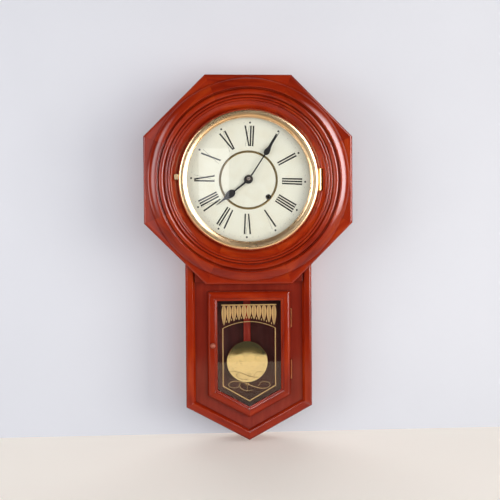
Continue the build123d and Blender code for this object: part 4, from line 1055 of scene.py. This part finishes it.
class FlatWork:
    """Thin flat shapes, such as printed strokes or gilding, gathered into one mesh."""

    # Least cosine of half a bend by which the joint of a line is drawn out.
    SHARPEST_BEND = 0.35

    def __init__(self) -> None:
        """Starts with no shape."""
        self.mesh = bmesh.new()

    def add_outline(self, outline: Sequence[Point], front: float, back: float) -> None:
        """Adds one closed shape.

        Args:
            outline: its corners in order, X and Z in millimetres from the arbor.
            front: Y of the face that is seen.
            back: Y of the face that sits on what carries it.
        """
        rings = []
        for depth in (front, back):
            places = [(x * MM, depth * MM, (z - ARBOR_DROP) * MM) for x, z in outline]
            rings.append([self.mesh.verts.new(place) for place in places])
        self.mesh.faces.new(rings[0])
        self.mesh.faces.new(reversed(rings[1]))
        count = len(outline)
        for index in range(count):
            after = (index + 1) % count
            self.mesh.faces.new((rings[0][index], rings[1][index], rings[1][after], rings[0][after]))

    def add_line(self, points: Sequence[Point], widths: Sequence[float], front: float, back: float) -> None:
        """Adds a line of changing width, as short joined pieces.

        Args:
            points: the line's middle.
            widths: its width at each point.
            front: Y of the face that is seen.
            back: Y of the face that sits on what carries it.
        """
        left: list[Point] = []
        right: list[Point] = []
        last = len(points) - 1
        for index, (x, z) in enumerate(points):
            before = Vector(points[max(index - 1, 0)])
            after = Vector(points[min(index + 1, last)])
            here = Vector((x, z))
            into = (here - before).normalized() if index > 0 else (after - here).normalized()
            away = (after - here).normalized() if index < last else into
            lean = (into + away).normalized()
            reach = widths[index] / 2.0 / max(lean.dot(into), self.SHARPEST_BEND)
            left.append((x - lean.y * reach, z + lean.x * reach))
            right.append((x + lean.y * reach, z - lean.x * reach))
        for index in range(last):
            self.add_outline((left[index], left[index + 1], right[index + 1], right[index]), front, back)

    def built(self, name: str, body: str, slot: str) -> bpy.types.Object:
        """Closes the mesh and sets it on its body.

        Args:
            name: the piece's name.
            body: the CAD body it rides on.
            slot: the record's material slot, which is not used.

        Returns:
            The piece.
        """
        bmesh.ops.recalc_face_normals(self.mesh, faces=self.mesh.faces)
        data = bpy.data.meshes.new(name)
        self.mesh.to_mesh(data)
        self.mesh.free()
        piece = bpy.data.objects.new(name, data)
        bpy.context.scene.collection.objects.link(piece)
        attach(piece, body)
        log.info("%s: %d faces", name, len(data.polygons))
        return piece


@dataclass
class Case:
    """The octagon head, the trunk and its back."""

    finishes: Finishes

    def dress(self) -> None:
        """Finishes every board, moulding and fitting of the case."""
        put = self.finishes.dress_nodes
        put(Lacquer("octagon_lacquer", GrainRun.OCTAGON, seed=3.0, eased=0.0), "octagon_frame")
        put(Lacquer("panel_lacquer", GrainRun.UPRIGHT, seed=11.0, dark=colour(124, 32, 18),
                    mid=colour(134, 38, 22), light=colour(146, 48, 28), hollow_shade_and_stain=0.35), "front_panel")
        put(Lacquer("left_side_lacquer", GrainRun.UPRIGHT, seed=17.0), "side_board_left",
            "side_moulding_left")
        put(Lacquer("right_side_lacquer", GrainRun.UPRIGHT, seed=23.0), "side_board_right",
            "side_moulding_right")
        put(Lacquer("top_lacquer", GrainRun.ACROSS, seed=29.0), "top_board")
        put(Lacquer("foot_lacquer", GrainRun.FOOT, seed=31.0, eased=0.0036), "floor_boards",
            "floor_mouldings")
        put(BackBoard(), "back_panel")
        put(STEEL, "hanger_plate", "case_screws")
        put(BRASS, "small_screws")


@dataclass
class Dial:
    """The painted dial with its gilt ring, numerals and dots."""

    finishes: Finishes
    turn: float = 2.0
    hour_step: float = 30.0
    inner: float = 66.0
    outer: float = 105.5
    stroke: float = 3.1
    hairline: float = 0.4
    pitch: float = 5.1
    slant: float = 8.3
    slant_gap: float = 0.9
    serif: float = 0.7
    fan: float = 0.1
    minutes: int = 60
    hour_minutes: int = 5
    dot_circle: float = 111.5
    dot_sides: int = 20
    hour_dot: float = 1.9
    minute_dot: float = 0.5
    ink: float = 0.07
    serif_ink: float = 0.063
    sunk: float = 0.02
    numerals: tuple[str, ...] = ("XII", "I", "II", "III", "IIII", "V", "VI", "VII", "VIII", "IX", "X", "XI")

    @property
    def face(self) -> float:
        """Y of the dial's painted face."""
        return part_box("dial_plate")[0].y / MM

    def set_round(self, hour: float, across: float, radius: float) -> Point:
        """Sets a point of a numeral at its hour.

        Args:
            hour: hours from the top.
            across: distance from the hour's line, to its right.
            radius: distance from the arbor.

        Returns:
            X and Z from the arbor.
        """
        angle = math.radians(hour * self.hour_step + self.turn)
        share = (radius - self.inner) / (self.outer - self.inner)
        wide = across * (1.0 - self.fan + self.fan * share)
        sine = math.sin(angle)
        cosine = math.cos(angle)
        return (wide * cosine + radius * sine, radius * cosine - wide * sine)

    def bar(self, work: FlatWork, hour: float, foot: float, head: float, width: float) -> None:
        """Adds one stroke of a numeral.

        Args:
            work: where it goes.
            hour: hours from the top.
            foot: its place across at the end near the arbor.
            head: its place across at the outer end.
            width: its width.
        """
        half = width / 2.0
        corners = ((foot - half, self.inner), (foot + half, self.inner), (head + half, self.outer),
                   (head - half, self.outer))
        outline = [self.set_round(hour, across, radius) for across, radius in corners]
        work.add_outline(outline, self.face - self.ink, self.face + self.sunk)

    def cap(self, work: FlatWork, hour: float, middle: float, radius: float, width: float) -> None:
        """Adds a serif across the end of a stroke.

        Args:
            work: where it goes.
            hour: hours from the top.
            middle: place across of the stroke.
            radius: the stroke's end.
            width: the stroke's width.
        """
        inside = 1.0 if radius < (self.inner + self.outer) / 2.0 else -1.0
        half = width / 2.0
        wide = half + self.serif
        neck = radius + inside * self.serif
        corners = ((middle - wide, radius), (middle + wide, radius), (middle + half, neck),
                   (middle - half, neck))
        outline = [self.set_round(hour, across, place) for across, place in corners]
        work.add_outline(outline, self.face - self.serif_ink, self.face + self.sunk)

    def letter_width(self, letter: str) -> float:
        """Width that a letter takes in its numeral."""
        return self.pitch if letter == "I" else self.slant + self.slant_gap

    def numeral(self, work: FlatWork, hour: int) -> None:
        """Adds one numeral, with its feet to the arbor.

        Args:
            work: where it goes.
            hour: hours from the top.
        """
        letters = self.numerals[hour]
        start = -sum(self.letter_width(letter) for letter in letters) / 2.0
        for letter in letters:
            middle = start + self.letter_width(letter) / 2.0
            half = self.slant / 2.0
            if letter == "I":
                self.bar(work, hour, middle, middle, self.stroke)
                self.cap(work, hour, middle, self.inner, self.stroke)
                self.cap(work, hour, middle, self.outer, self.stroke)
            elif letter == "V":
                self.bar(work, hour, middle, middle - half, self.stroke)
                self.bar(work, hour, middle, middle + half, self.hairline)
                self.cap(work, hour, middle - half, self.outer, self.stroke)
                self.cap(work, hour, middle + half, self.outer, self.hairline)
            else:
                self.bar(work, hour, middle + half, middle - half, self.stroke)
                self.bar(work, hour, middle - half, middle + half, self.hairline)
                self.cap(work, hour, middle + half, self.inner, self.stroke)
                self.cap(work, hour, middle - half, self.outer, self.stroke)
                self.cap(work, hour, middle - half, self.inner, self.hairline)
                self.cap(work, hour, middle + half, self.outer, self.hairline)
            start += self.letter_width(letter)

    def dot(self, work: FlatWork, hour: float, radius: float) -> None:
        """Adds one round dot of the track.

        Args:
            work: where it goes.
            hour: hours from the top.
            radius: the dot's radius.
        """
        middle = Vector(self.set_round(hour, 0.0, self.dot_circle))
        outline = []
        for step in range(self.dot_sides):
            angle = math.tau * step / self.dot_sides
            outline.append((middle.x + radius * math.cos(angle), middle.y + radius * math.sin(angle)))
        work.add_outline(outline, self.face - self.ink, self.face + self.sunk)

    def build(self) -> None:
        """Prints the numerals and the dots."""
        numerals = FlatWork()
        for hour in range(len(self.numerals)):
            self.numeral(numerals, hour)
        self.finishes.dress(numerals.built("dial_numerals", "case", "hand_black"), DIAL_INK)
        dots = FlatWork()
        for minute in range(self.minutes):
            on_hour = minute % self.hour_minutes == 0
            self.dot(dots, minute / self.hour_minutes, self.hour_dot if on_hour else self.minute_dot)
        self.finishes.dress(dots.built("dial_minute_dots", "case", "hand_black"), DIAL_INK)

    def dress(self) -> None:
        """Finishes the dial, the gilt ring and the hands."""
        put = self.finishes.dress_nodes
        put(DIAL_CREAM, "dial_plate")
        put(RING_GILT, "dial_centre_ring")
        put(HAND_BLACK, "hour_hand", "minute_hand")
        put(NUT_STEEL, "hand_nut")


@dataclass
class Bezel:
    """The hinged brass ring and its domed glass."""

    finishes: Finishes

    def dress(self) -> None:
        """Finishes the ring, the glass and the hinge."""
        put = self.finishes.dress_nodes
        put(BEZEL_BRASS, "bezel_ring", "glass_retainer_ring")
        put(BRASS, "bezel_hinge_leaf", "bezel_hinge_wing", "hinge_pins")
        put(GLASS, "bezel_glass")


@dataclass
class Door:
    """The trunk door, with gilding on the back of its glass."""

    finishes: Finishes
    line_half: float = 51.8
    line_top: float = -291.0
    line_corner: float = -404.8
    line_tip: float = -435.0
    line_width: float = 1.9
    bow_gap: float = 3.4
    bow_width: float = 1.1
    bow_steps: int = 40
    leaf_count: int = 11
    leaf_steps: int = 12
    leaf_top: float = -245.0
    leaf_ends: float = -287.5
    leaf_middle: float = -274.5
    leaf_overhang: float = 2.6
    leaf_rise: float = 1.2
    leaf_half_share: float = 0.43
    leaf_line: float = 2.2
    leaf_crest: float = 0.72
    leaf_round: float = 0.8
    thinnest: float = 0.01
    vein_half: float = 0.42
    drop_rise: float = 3.0
    drop_head: float = 3.4
    drop_foot: float = 2.0
    drop_half: float = 1.0
    scroll_level: float = -403.0
    scroll_half_turn: tuple[Point, ...] = (
        (0.0, 0.0), (8.0, -3.4), (20.0, -6.6), (29.5, -7.4), (37.5, -5.2), (41.0, -0.6), (38.6, 3.6),
        (31.0, 5.6), (23.5, 5.0), (20.0, 1.2), (16.8, -3.2))
    scroll_tail: tuple[Point, ...] = ((-19.6, 3.6), (-18.4, -4.6), (-12.5, -9.6), (-3.0, -11.6), (7.0, -10.2))
    scroll_steps: int = 8
    scroll_width: float = 1.35
    scroll_taper: float = 0.85
    tail_width: float = 0.35
    tail_swell: float = 0.55
    gild: float = 0.06
    sunk: float = 0.02

    @property
    def face(self) -> float:
        """Y of the back of the glass, which carries the gilding."""
        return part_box("door_glass")[1].y / MM

    def arch(self, across: float, ends: float, middle: float) -> float:
        """Height of an arch at a place across the door.

        Args:
            across: distance from the middle.
            ends: its height at the border lines.
            middle: its height in the middle.

        Returns:
            Its height there.
        """
        share = across / self.line_half
        return middle + (ends - middle) * share * share

    def put_line(self, work: FlatWork, points: Sequence[Point], widths: Sequence[float]) -> None:
        """Adds a gilt line to the back of the glass."""
        work.add_line(points, widths, self.face - self.sunk, self.face + self.gild)

    def put_shape(self, work: FlatWork, outline: Sequence[Point]) -> None:
        """Adds a gilt shape to the back of the glass."""
        work.add_outline(outline, self.face - self.sunk, self.face + self.gild)

    def border(self) -> FlatWork:
        """Makes the border: two uprights, the pointed foot, and the arch that closes them.

        Returns:
            The border's shapes.
        """
        work = FlatWork()
        foot = [(-self.line_half, self.line_top), (-self.line_half, self.line_corner), (0.0, self.line_tip),
                (self.line_half, self.line_corner), (self.line_half, self.line_top)]
        self.put_line(work, foot, [self.line_width] * len(foot))
        bow = []
        for step in range(self.bow_steps + 1):
            across = self.line_half * (2.0 * step / self.bow_steps - 1.0)
            bow.append((across, self.arch(across, self.line_top, self.leaf_middle - self.bow_gap)))
        self.put_line(work, bow, [self.bow_width] * len(bow))
        return work

    def valance(self) -> FlatWork:
        """Makes the row of hanging leaves, split by their veins, under a plain top line.

        Returns:
            The valance's shapes.
        """
        work = FlatWork()
        reach = self.line_half + self.leaf_overhang
        top_line = [(-reach, self.leaf_top), (reach, self.leaf_top)]
        self.put_line(work, top_line, [self.leaf_line] * len(top_line))
        wide = 2.0 * reach / self.leaf_count
        for index in range(self.leaf_count):
            middle = -reach + wide * (index + 0.5)
            tip = self.arch(middle, self.leaf_ends, self.leaf_middle) + self.leaf_rise
            self.leaf(work, middle, tip, wide * self.leaf_half_share)
            if index:
                self.drop(work, middle - wide / 2.0, tip)
        return work

    def leaf_half(self, share: float, half: float) -> float:
        """Distance from a leaf's middle to its edge, at a share of its length."""
        return self.vein_half + half * math.sin(math.pi * share ** self.leaf_crest) ** self.leaf_round

    def leaf(self, work: FlatWork, middle: float, tip: float, half: float) -> None:
        """Adds one leaf as two halves beside its vein.

        Args:
            work: where it goes.
            middle: its place across.
            tip: height of its point.
            half: half of its width.
        """
        vein = self.vein_half
        for side in (-1.0, 1.0):
            for step in range(self.leaf_steps):
                above = step / self.leaf_steps
                below = (step + 1) / self.leaf_steps
                high = self.leaf_top + (tip - self.leaf_top) * above
                low = self.leaf_top + (tip - self.leaf_top) * below
                wide_above = self.leaf_half(above, half)
                wide_below = self.leaf_half(below, half)
                outline = ((middle + side * vein, high), (middle + side * wide_above, high),
                           (middle + side * wide_below, low), (middle + side * vein, low))
                if wide_above - vein < self.thinnest:
                    outline = (outline[0], outline[2], outline[3])
                elif wide_below - vein < self.thinnest:
                    outline = (outline[0], outline[1], outline[3])
                self.put_shape(work, outline)

    def drop(self, work: FlatWork, middle: float, tip: float) -> None:
        """Adds a small pointed drop between two leaves.

        Args:
            work: where it goes.
            middle: its place across.
            tip: height of the nearest leaf's point.
        """
        level = tip + self.drop_rise
        outline = ((middle, level + self.drop_head), (middle + self.drop_half, level),
                   (middle, level - self.drop_foot), (middle - self.drop_half, level))
        self.put_shape(work, outline)

    def flowing(self, stations: Sequence[Point]) -> list[Point]:
        """Draws a smooth line through stations.

        Args:
            stations: the points it passes, in order.

        Returns:
            Close points along the line.
        """
        points = []
        last = len(stations) - 1
        for index in range(last):
            before, start = Vector(stations[max(index - 1, 0)]), Vector(stations[index])
            end, after = Vector(stations[index + 1]), Vector(stations[min(index + 2, last)])
            near, far = (end - before) / 2.0, (after - start) / 2.0
            for step in range(self.scroll_steps):
                share = step / self.scroll_steps
                climb = share * share * (3.0 - 2.0 * share)
                spot = start.lerp(end, climb) + near * share * (1.0 - share) ** 2
                spot -= far * share * share * (1.0 - share)
                points.append((spot.x, spot.y))
        points.append(tuple(stations[last]))
        return points

    def scroll(self) -> FlatWork:
        """Makes the flourish: a long S whose two ends curl back on themselves, with a tail below.

        Returns:
            The flourish's shapes.
        """
        work = FlatWork()
        for side in (-1.0, 1.0):
            stations = [(side * across, self.scroll_level + side * rise)
                        for across, rise in self.scroll_half_turn]
            stroke = self.flowing(stations)
            last = len(stroke) - 1
            widths = [self.scroll_width - self.scroll_taper * math.sin(0.5 * math.pi * index / last)
                      for index in range(last + 1)]
            self.put_line(work, stroke, widths)
        tail = self.flowing([(across, self.scroll_level + rise) for across, rise in self.scroll_tail])
        last = len(tail) - 1
        widths = [self.tail_width + self.tail_swell * math.sin(math.pi * index / last)
                  for index in range(last + 1)]
        self.put_line(work, tail, widths)
        return work

    def build(self) -> None:
        """Gilds the back of the glass."""
        for name, work in (("door_gilt_border", self.border()), ("door_gilt_valance", self.valance()),
                           ("door_gilt_scroll", self.scroll())):
            self.finishes.dress(work.built(name, "door", "gilt"), GOLD_LEAF)

    def dress(self) -> None:
        """Finishes the frame, the glass and the fittings."""
        put = self.finishes.dress_nodes
        put(Lacquer("door_lacquer", GrainRun.RAILS, seed=53.0, eased=0.002), "door_frame", "door_glass_beads")
        put(Lacquer("knob_lacquer", GrainRun.ACROSS, seed=59.0, dark=colour(150, 66, 46),
                    mid=colour(168, 88, 64), light=colour(184, 108, 84), gloss=0.4), "door_knob")
        put(GLASS, "door_glass")
        put(HINGE_BRASS, "door_hinge_case_leaves", "door_hinge_door_leaves")
        put(STEEL, "door_magnet_catch", "door_strike_plate")


@dataclass
class Pendulum:
    """The rod, the bob and what hangs and sets them."""

    finishes: Finishes

    def dress(self) -> None:
        """Finishes the pendulum from its spring to its nut."""
        put = self.finishes.dress_nodes
        put(Lacquer("rod_lacquer", GrainRun.UPRIGHT, seed=61.0, dark=colour(128, 26, 20),
                    mid=colour(168, 48, 36), light=colour(188, 70, 50)), "pendulum_rod")
        put(BOB_BRASS, "bob")
        put(BRASS, "rating_nut", "rating_stud", "pendulum_hook")
        put(BLUED_STEEL, "suspension_spring")


@dataclass
class Movement:
    """The plates, the wheels and the arbors behind the dial."""

    finishes: Finishes

    def dress(self) -> None:
        """Finishes the movement."""
        put = self.finishes.dress_nodes
        put(MOVEMENT_BRASS, "movement_front_plate", "movement_back_plate", "movement_pillars", "barrel_drum",
            "barrel_cover", "intermediate_wheel", "centre_wheel", "third_wheel", "escape_wheel",
            "minute_wheel", "hour_wheel", "crutch")
        put(STEEL, "pillar_nuts", "movement_feet", "ratchet_wheel", "click", "click_spring", "centre_arbor",
            "cannon_pinion", "verge")
        put(SHADED_ARBOR_STEEL, "winding_arbor")
        put(BLUED_STEEL, "mainspring")


@dataclass
class Studio:
    """The wall, the floor, the light and the camera."""

    wall_colour: Colour = colour(224, 224, 227)
    floor_colour: Colour = colour(236, 229, 219)
    near_floor_colour: Colour = colour(236, 211, 179)
    room_colour: Colour = (0.055, 0.05, 0.04, 1.0)
    ceiling_colour: Colour = (0.1, 0.075, 0.06, 1.0)
    sky_colour: Colour = colour(228, 230, 238)
    cool: Colour = colour(250, 251, 255)
    warm: Colour = colour(255, 251, 246)
    mottle_tone: float = 0.97
    sky_light: float = 0.4
    sky_seen: float = 0.6
    stage_half: float = 3500.0
    wall_at: float = 1.0
    wall_foot: float = -520.0
    wall_top: float = 2500.0
    wall_glow: float = 0.03
    floor_level: float = -516.6
    floor_front: float = -1130.0
    floor_back: float = 3000.0
    floor_glow: float = 0.26
    near_floor: Point = (-600.0, -300.0)
    room_near: float = -2800.0
    room_back: float = -150.0
    room_half: float = 2600.0
    room_low: float = -1600.0
    room_high: float = 1900.0
    ceiling_back: float = 800.0
    camera_at: Place = (-124.3, -1900.0, -81.3)
    camera_yaw: float = 4.0
    camera_pitch: float = -1.75
    camera_roll: float = -0.38
    camera_lens: float = 66.8
    camera_sensor: float = 36.0

    def sheet_of(self, name: str, corners: Sequence[Place]) -> bpy.types.Object:
        """Makes a flat stage sheet.

        Args:
            name: its name.
            corners: its corners in order, in millimetres from the arbor.

        Returns:
            The sheet.
        """
        data = bpy.data.meshes.new(name)
        places = [(x * MM, y * MM, (z - ARBOR_DROP) * MM) for x, y, z in corners]
        data.from_pydata(places, [], [tuple(range(len(corners)))])
        sheet = bpy.data.objects.new(name, data)
        bpy.context.scene.collection.objects.link(sheet)
        return sheet

    def matt(self, name: str, tone: Colour, glow: float, near_tone: Colour) -> bpy.types.Material:
        """Makes a plain matt stage material, which is clear from behind.

        Args:
            name: its name.
            tone: its colour.
            glow: share of its colour that the camera, gloss and glass see beside the light on it.
            near_tone: its colour well in front of the clock, where only gloss sees it.

        Returns:
            The material.
        """
        material, sheet, shader = new_material(name)
        place = sheet.spot()
        mottle = sheet.noise(place, scale=3.0, detail=3.0)
        mottle = sheet.ranged(mottle, low=0.3, high=0.7)
        second = tuple(level * self.mottle_tone for level in tone[:3]) + (1.0,)
        front, back = self.near_floor
        ahead = sheet.ranged(sheet.parts(place)[1], low=front * MM, high=back * MM, start=1.0, end=0.0)
        near = sheet.sums("MULTIPLY", ahead, sheet.place("ShaderNodeLightPath").outputs["Is Glossy Ray"])
        mottled = sheet.blended(mottle, tone, second)
        sheet.put(shader.inputs["Base Color"], sheet.blended(near, mottled, near_tone))
        shader.inputs["Roughness"].default_value = 0.9
        shader.inputs["Specular IOR Level"].default_value = 0.1
        sheet.put(shader.inputs["Emission Color"], sheet.blended(near, tone, near_tone))
        sheet.put(shader.inputs["Emission Strength"], sheet.sums("MULTIPLY", self.seen_rays(sheet), glow))
        let_through(sheet, shader, sheet.place("ShaderNodeNewGeometry").outputs["Backfacing"])
        return material

    def seen_rays(self, sheet: NodeSheet) -> Socket:
        """Marks the rays of the camera, of gloss and of glass.

        Args:
            sheet: the sheet of a material or of the world.

        Returns:
            1 for those rays and 0 for the others.
        """
        rays = sheet.place("ShaderNodeLightPath")
        seen = sheet.sums("MAXIMUM", rays.outputs["Is Camera Ray"], rays.outputs["Is Glossy Ray"])
        return sheet.sums("MAXIMUM", seen, rays.outputs["Is Transmission Ray"])

    def keep_to_gloss(self, piece: bpy.types.Object) -> None:
        """Hides a stage piece from all but gloss and glass."""
        for ray in ("visible_camera", "visible_diffuse", "visible_shadow"):
            setattr(piece, ray, False)

    def card(self, name: str, corners: Sequence[Place], tone: Colour) -> None:
        """Sets up a card that only gloss and glass see, as the unlit part of the room.

        Args:
            name: its name.
            corners: its corners.
            tone: the light that it gives back.
        """
        card = self.sheet_of(name, corners)
        material, sheet = bare_material(name)
        glow = sheet.place("ShaderNodeEmission")
        glow.inputs["Color"].default_value = tone
        sheet.put(sheet.place("ShaderNodeOutputMaterial").inputs["Surface"], glow.outputs[0])
        card.data.materials.append(material)
        self.keep_to_gloss(card)

    def lamp(self, name: str, at: Place, aim: Place, size: Point, power: float, tint: Colour) -> None:
        """Sets up one soft lamp that lights surfaces and doesn't show in gloss.

        Args:
            name: its name.
            at: where it stands, in millimetres from the arbor.
            aim: what it points at.
            size: its width and height in metres.
            power: its power in watts.
            tint: its colour.
        """
        data = bpy.data.lights.new(name, "AREA")
        data.shape = "RECTANGLE"
        data.size, data.size_y = size
        data.energy = power
        data.color = tint[:3]
        lamp = bpy.data.objects.new(name, data)
        start = from_arbor(at)
        lamp.location = start
        lamp.rotation_euler = (from_arbor(aim) - start).to_track_quat("-Z", "Y").to_euler()
        for ray in ("visible_camera", "visible_glossy", "visible_transmission"):
            setattr(lamp, ray, False)
        bpy.context.scene.collection.objects.link(lamp)

    def pane(self, name: str, at: Place, aim: Place, size: Point, glow: float, soft: float,
             nodes: Sequence[str] = (), flag: Flag = Flag.OFF) -> None:
        """Sets up a bright window with soft edges, which only gloss and glass see.

        Args:
            name: its name.
            at: where its middle stands, in millimetres from the arbor.
            aim: what it points at.
            size: its width and height in metres.
            glow: its brightness at the middle.
            soft: share of its half width and half height over which it fades.
            nodes: CAD nodes that a flag is set up for, if any.
            flag: whether the flag keeps the window's glare off those nodes or on them only.
        """
        half_wide, half_high = size[0] / 2.0, size[1] / 2.0
        corners = ((-half_wide, -half_high, 0.0), (half_wide, -half_high, 0.0), (half_wide, half_high, 0.0),
                   (-half_wide, half_high, 0.0))
        data = bpy.data.meshes.new(name)
        data.from_pydata(corners, [], [(0, 1, 2, 3)])
        window = bpy.data.objects.new(name, data)
        start = from_arbor(at)
        turned = (from_arbor(aim) - start).to_track_quat("Z", "Y").to_matrix().to_4x4()
        window.matrix_world = Matrix.Translation(start) @ turned
        bpy.context.scene.collection.objects.link(window)
        material, sheet = bare_material(name)
        x, y, _ = sheet.parts(sheet.spot())
        fades = []
        for place, half in ((x, half_wide), (y, half_high)):
            away = sheet.sums("ABSOLUTE", place)
            fades.append(sheet.ranged(away, low=half * (1.0 - soft), high=half, start=1.0, end=0.0))
        light = sheet.place("ShaderNodeEmission")
        light.inputs["Color"].default_value = self.cool
        strength = sheet.sums("MULTIPLY", sheet.sums("MULTIPLY", fades[0], fades[1]), glow)
        sheet.put(light.inputs["Strength"], strength)
        clear = sheet.place("ShaderNodeBsdfTransparent")
        both = sheet.place("ShaderNodeAddShader")
        sheet.put(both.inputs[0], light.outputs[0])
        sheet.put(both.inputs[1], clear.outputs[0])
        sheet.put(sheet.place("ShaderNodeOutputMaterial").inputs["Surface"], both.outputs[0])
        data.materials.append(material)
        self.keep_to_gloss(window)
        if nodes:
            flagged = bpy.data.collections.new(name + "_flag")
            for node in nodes:
                flagged.objects.link(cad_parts[node])
            for entry in flagged.collection_objects:
                entry.light_linking.link_state = flag.value
            window.light_linking.receiver_collection = flagged

    def set_stage(self) -> None:
        """Puts up the wall, the floor and the dark side of the room."""
        half, back, foot, top = self.stage_half, self.wall_at, self.wall_foot, self.wall_top
        wall = self.sheet_of("backdrop_wall", ((half, back, foot), (half, back, top), (-half, back, top),
                                               (-half, back, foot)))
        wall.data.materials.append(self.matt("backdrop_matt", self.wall_colour, self.wall_glow,
                                             self.wall_colour))
        level = self.floor_level
        floor = self.sheet_of("floor", ((-half, self.floor_front, level), (half, self.floor_front, level),
                                        (half, self.floor_back, level), (-half, self.floor_back, level)))
        floor.data.materials.append(self.matt("floor_matt", self.floor_colour, self.floor_glow,
                                              self.near_floor_colour))
        for sheet in (wall, floor):
            sheet.visible_diffuse = False
            sheet.visible_shadow = False
        near, back, side = self.room_near, self.room_back, self.room_half
        low, high = self.room_low, self.room_high
        front_corners = ((-side, near, low), (side, near, low), (side, near, high), (-side, near, high))
        self.card("room_front", front_corners, self.room_colour)
        for name, x in (("room_left", -side), ("room_right", side)):
            side_corners = ((x, near, low), (x, back, low), (x, back, high), (x, near, high))
            self.card(name, side_corners, self.room_colour)
        back = self.ceiling_back
        top_corners = ((-side, near, high), (side, near, high), (side, back, high), (-side, back, high))
        self.card("ceiling", top_corners, self.ceiling_colour)

    def set_lamps(self) -> None:
        """Lights the surfaces from both sides, from the front and from behind."""
        self.lamp("left_light", at=(-1900, -1500, -100), aim=(0, -60, -150), size=(1.2, 1.4), power=20.5,
                  tint=self.cool)
        self.lamp("right_light", at=(1900, -1500, -50), aim=(0, -60, -150), size=(1.2, 1.4), power=26.0,
                  tint=self.warm)
        self.lamp("front_light", at=(250, -2300, -50), aim=(0, 0, -150), size=(2.2, 1.4), power=18.0,
                  tint=self.cool)
        self.lamp("back_light", at=(0, 2200, 900), aim=(0, 0, -150), size=(2.2, 1.6), power=40.0,
                  tint=self.cool)

    def set_panes(self) -> None:
        """Puts up the windows that gloss and glass mirror."""
        glass = ("bezel_glass", "door_glass")
        shaded = glass + ("door_hinge_case_leaves", "door_hinge_door_leaves", "top_board")
        self.pane("left_pane", at=(-1100, -980, 250), aim=(0, -60, 0), size=(0.6, 1.7), glow=9.0, soft=0.8,
                  nodes=glass)
        self.pane("right_pane", at=(1450, -1300, 350), aim=(0, -60, 0), size=(1.35, 2.3), glow=21.0,
                  soft=0.65, nodes=shaded)
        self.pane("side_pane", at=(-1500, -200, -60), aim=(-180, -60, 0), size=(0.7, 1.0), glow=5.0, soft=0.6,
                  nodes=("octagon_frame",), flag=Flag.ONLY)
        self.pane("high_pane", at=(-1000, -680, 1270), aim=(0, -60, -350), size=(0.9, 0.9), glow=18.0,
                  soft=0.6, nodes=("door_frame", "floor_mouldings"), flag=Flag.ONLY)
        self.pane("near_pane", at=(-480, -2600, 200), aim=(0, -60, 0), size=(0.6, 1.06), glow=1.5, soft=0.1)

    def set_world(self) -> None:
        """Sets a pale world, which is brighter to the camera, to gloss and to glass."""
        world = bpy.data.worlds.new("pale_room")
        bpy.context.scene.world = world
        world.use_nodes = True
        world.node_tree.nodes.clear()
        sheet = NodeSheet(world.node_tree)
        sky = sheet.place("ShaderNodeBackground")
        sky.inputs["Color"].default_value = self.sky_colour
        strength = sheet.sums("MULTIPLY_ADD", self.seen_rays(sheet), self.sky_seen, self.sky_light)
        sheet.put(sky.inputs["Strength"], strength)
        sheet.put(sheet.place("ShaderNodeOutputWorld").inputs["Surface"], sky.outputs[0])

    def set_camera(self) -> None:
        """Stands the camera where the photograph was taken from."""
        yaw = math.radians(self.camera_yaw)
        pitch = math.radians(self.camera_pitch)
        roll = math.radians(self.camera_roll)
        ahead = Vector((math.sin(yaw) * math.cos(pitch), math.cos(yaw) * math.cos(pitch), math.sin(pitch)))
        level = Vector((math.cos(yaw), -math.sin(yaw), 0.0))
        above = level.cross(ahead)
        right = level * math.cos(roll) + above * math.sin(roll)
        up = above * math.cos(roll) - level * math.sin(roll)
        data = bpy.data.cameras.new("camera")
        data.lens = self.camera_lens
        data.sensor_width = self.camera_sensor
        camera = bpy.data.objects.new("camera", data)
        turned = Matrix((right, up, -ahead)).transposed().to_4x4()
        camera.matrix_world = Matrix.Translation(from_arbor(self.camera_at)) @ turned
        bpy.context.scene.collection.objects.link(camera)
        bpy.context.scene.camera = camera

    def build(self) -> None:
        """Sets up the whole studio."""
        self.set_stage()
        self.set_lamps()
        self.set_panes()
        self.set_world()
        self.set_camera()
        bpy.context.scene.view_settings.view_transform = "Standard"


def main() -> None:
    """Builds the clock's looks in order and reports each piece."""
    logging.basicConfig(level=logging.INFO, format="%(message)s")
    finishes = Finishes()
    dial = Dial(finishes)
    door = Door(finishes)
    dial.build()
    door.build()
    for assembly in (Case(finishes), dial, Bezel(finishes), door, Pendulum(finishes), Movement(finishes)):
        assembly.dress()
    Studio().build()


if __name__ == "__main__":
    main()
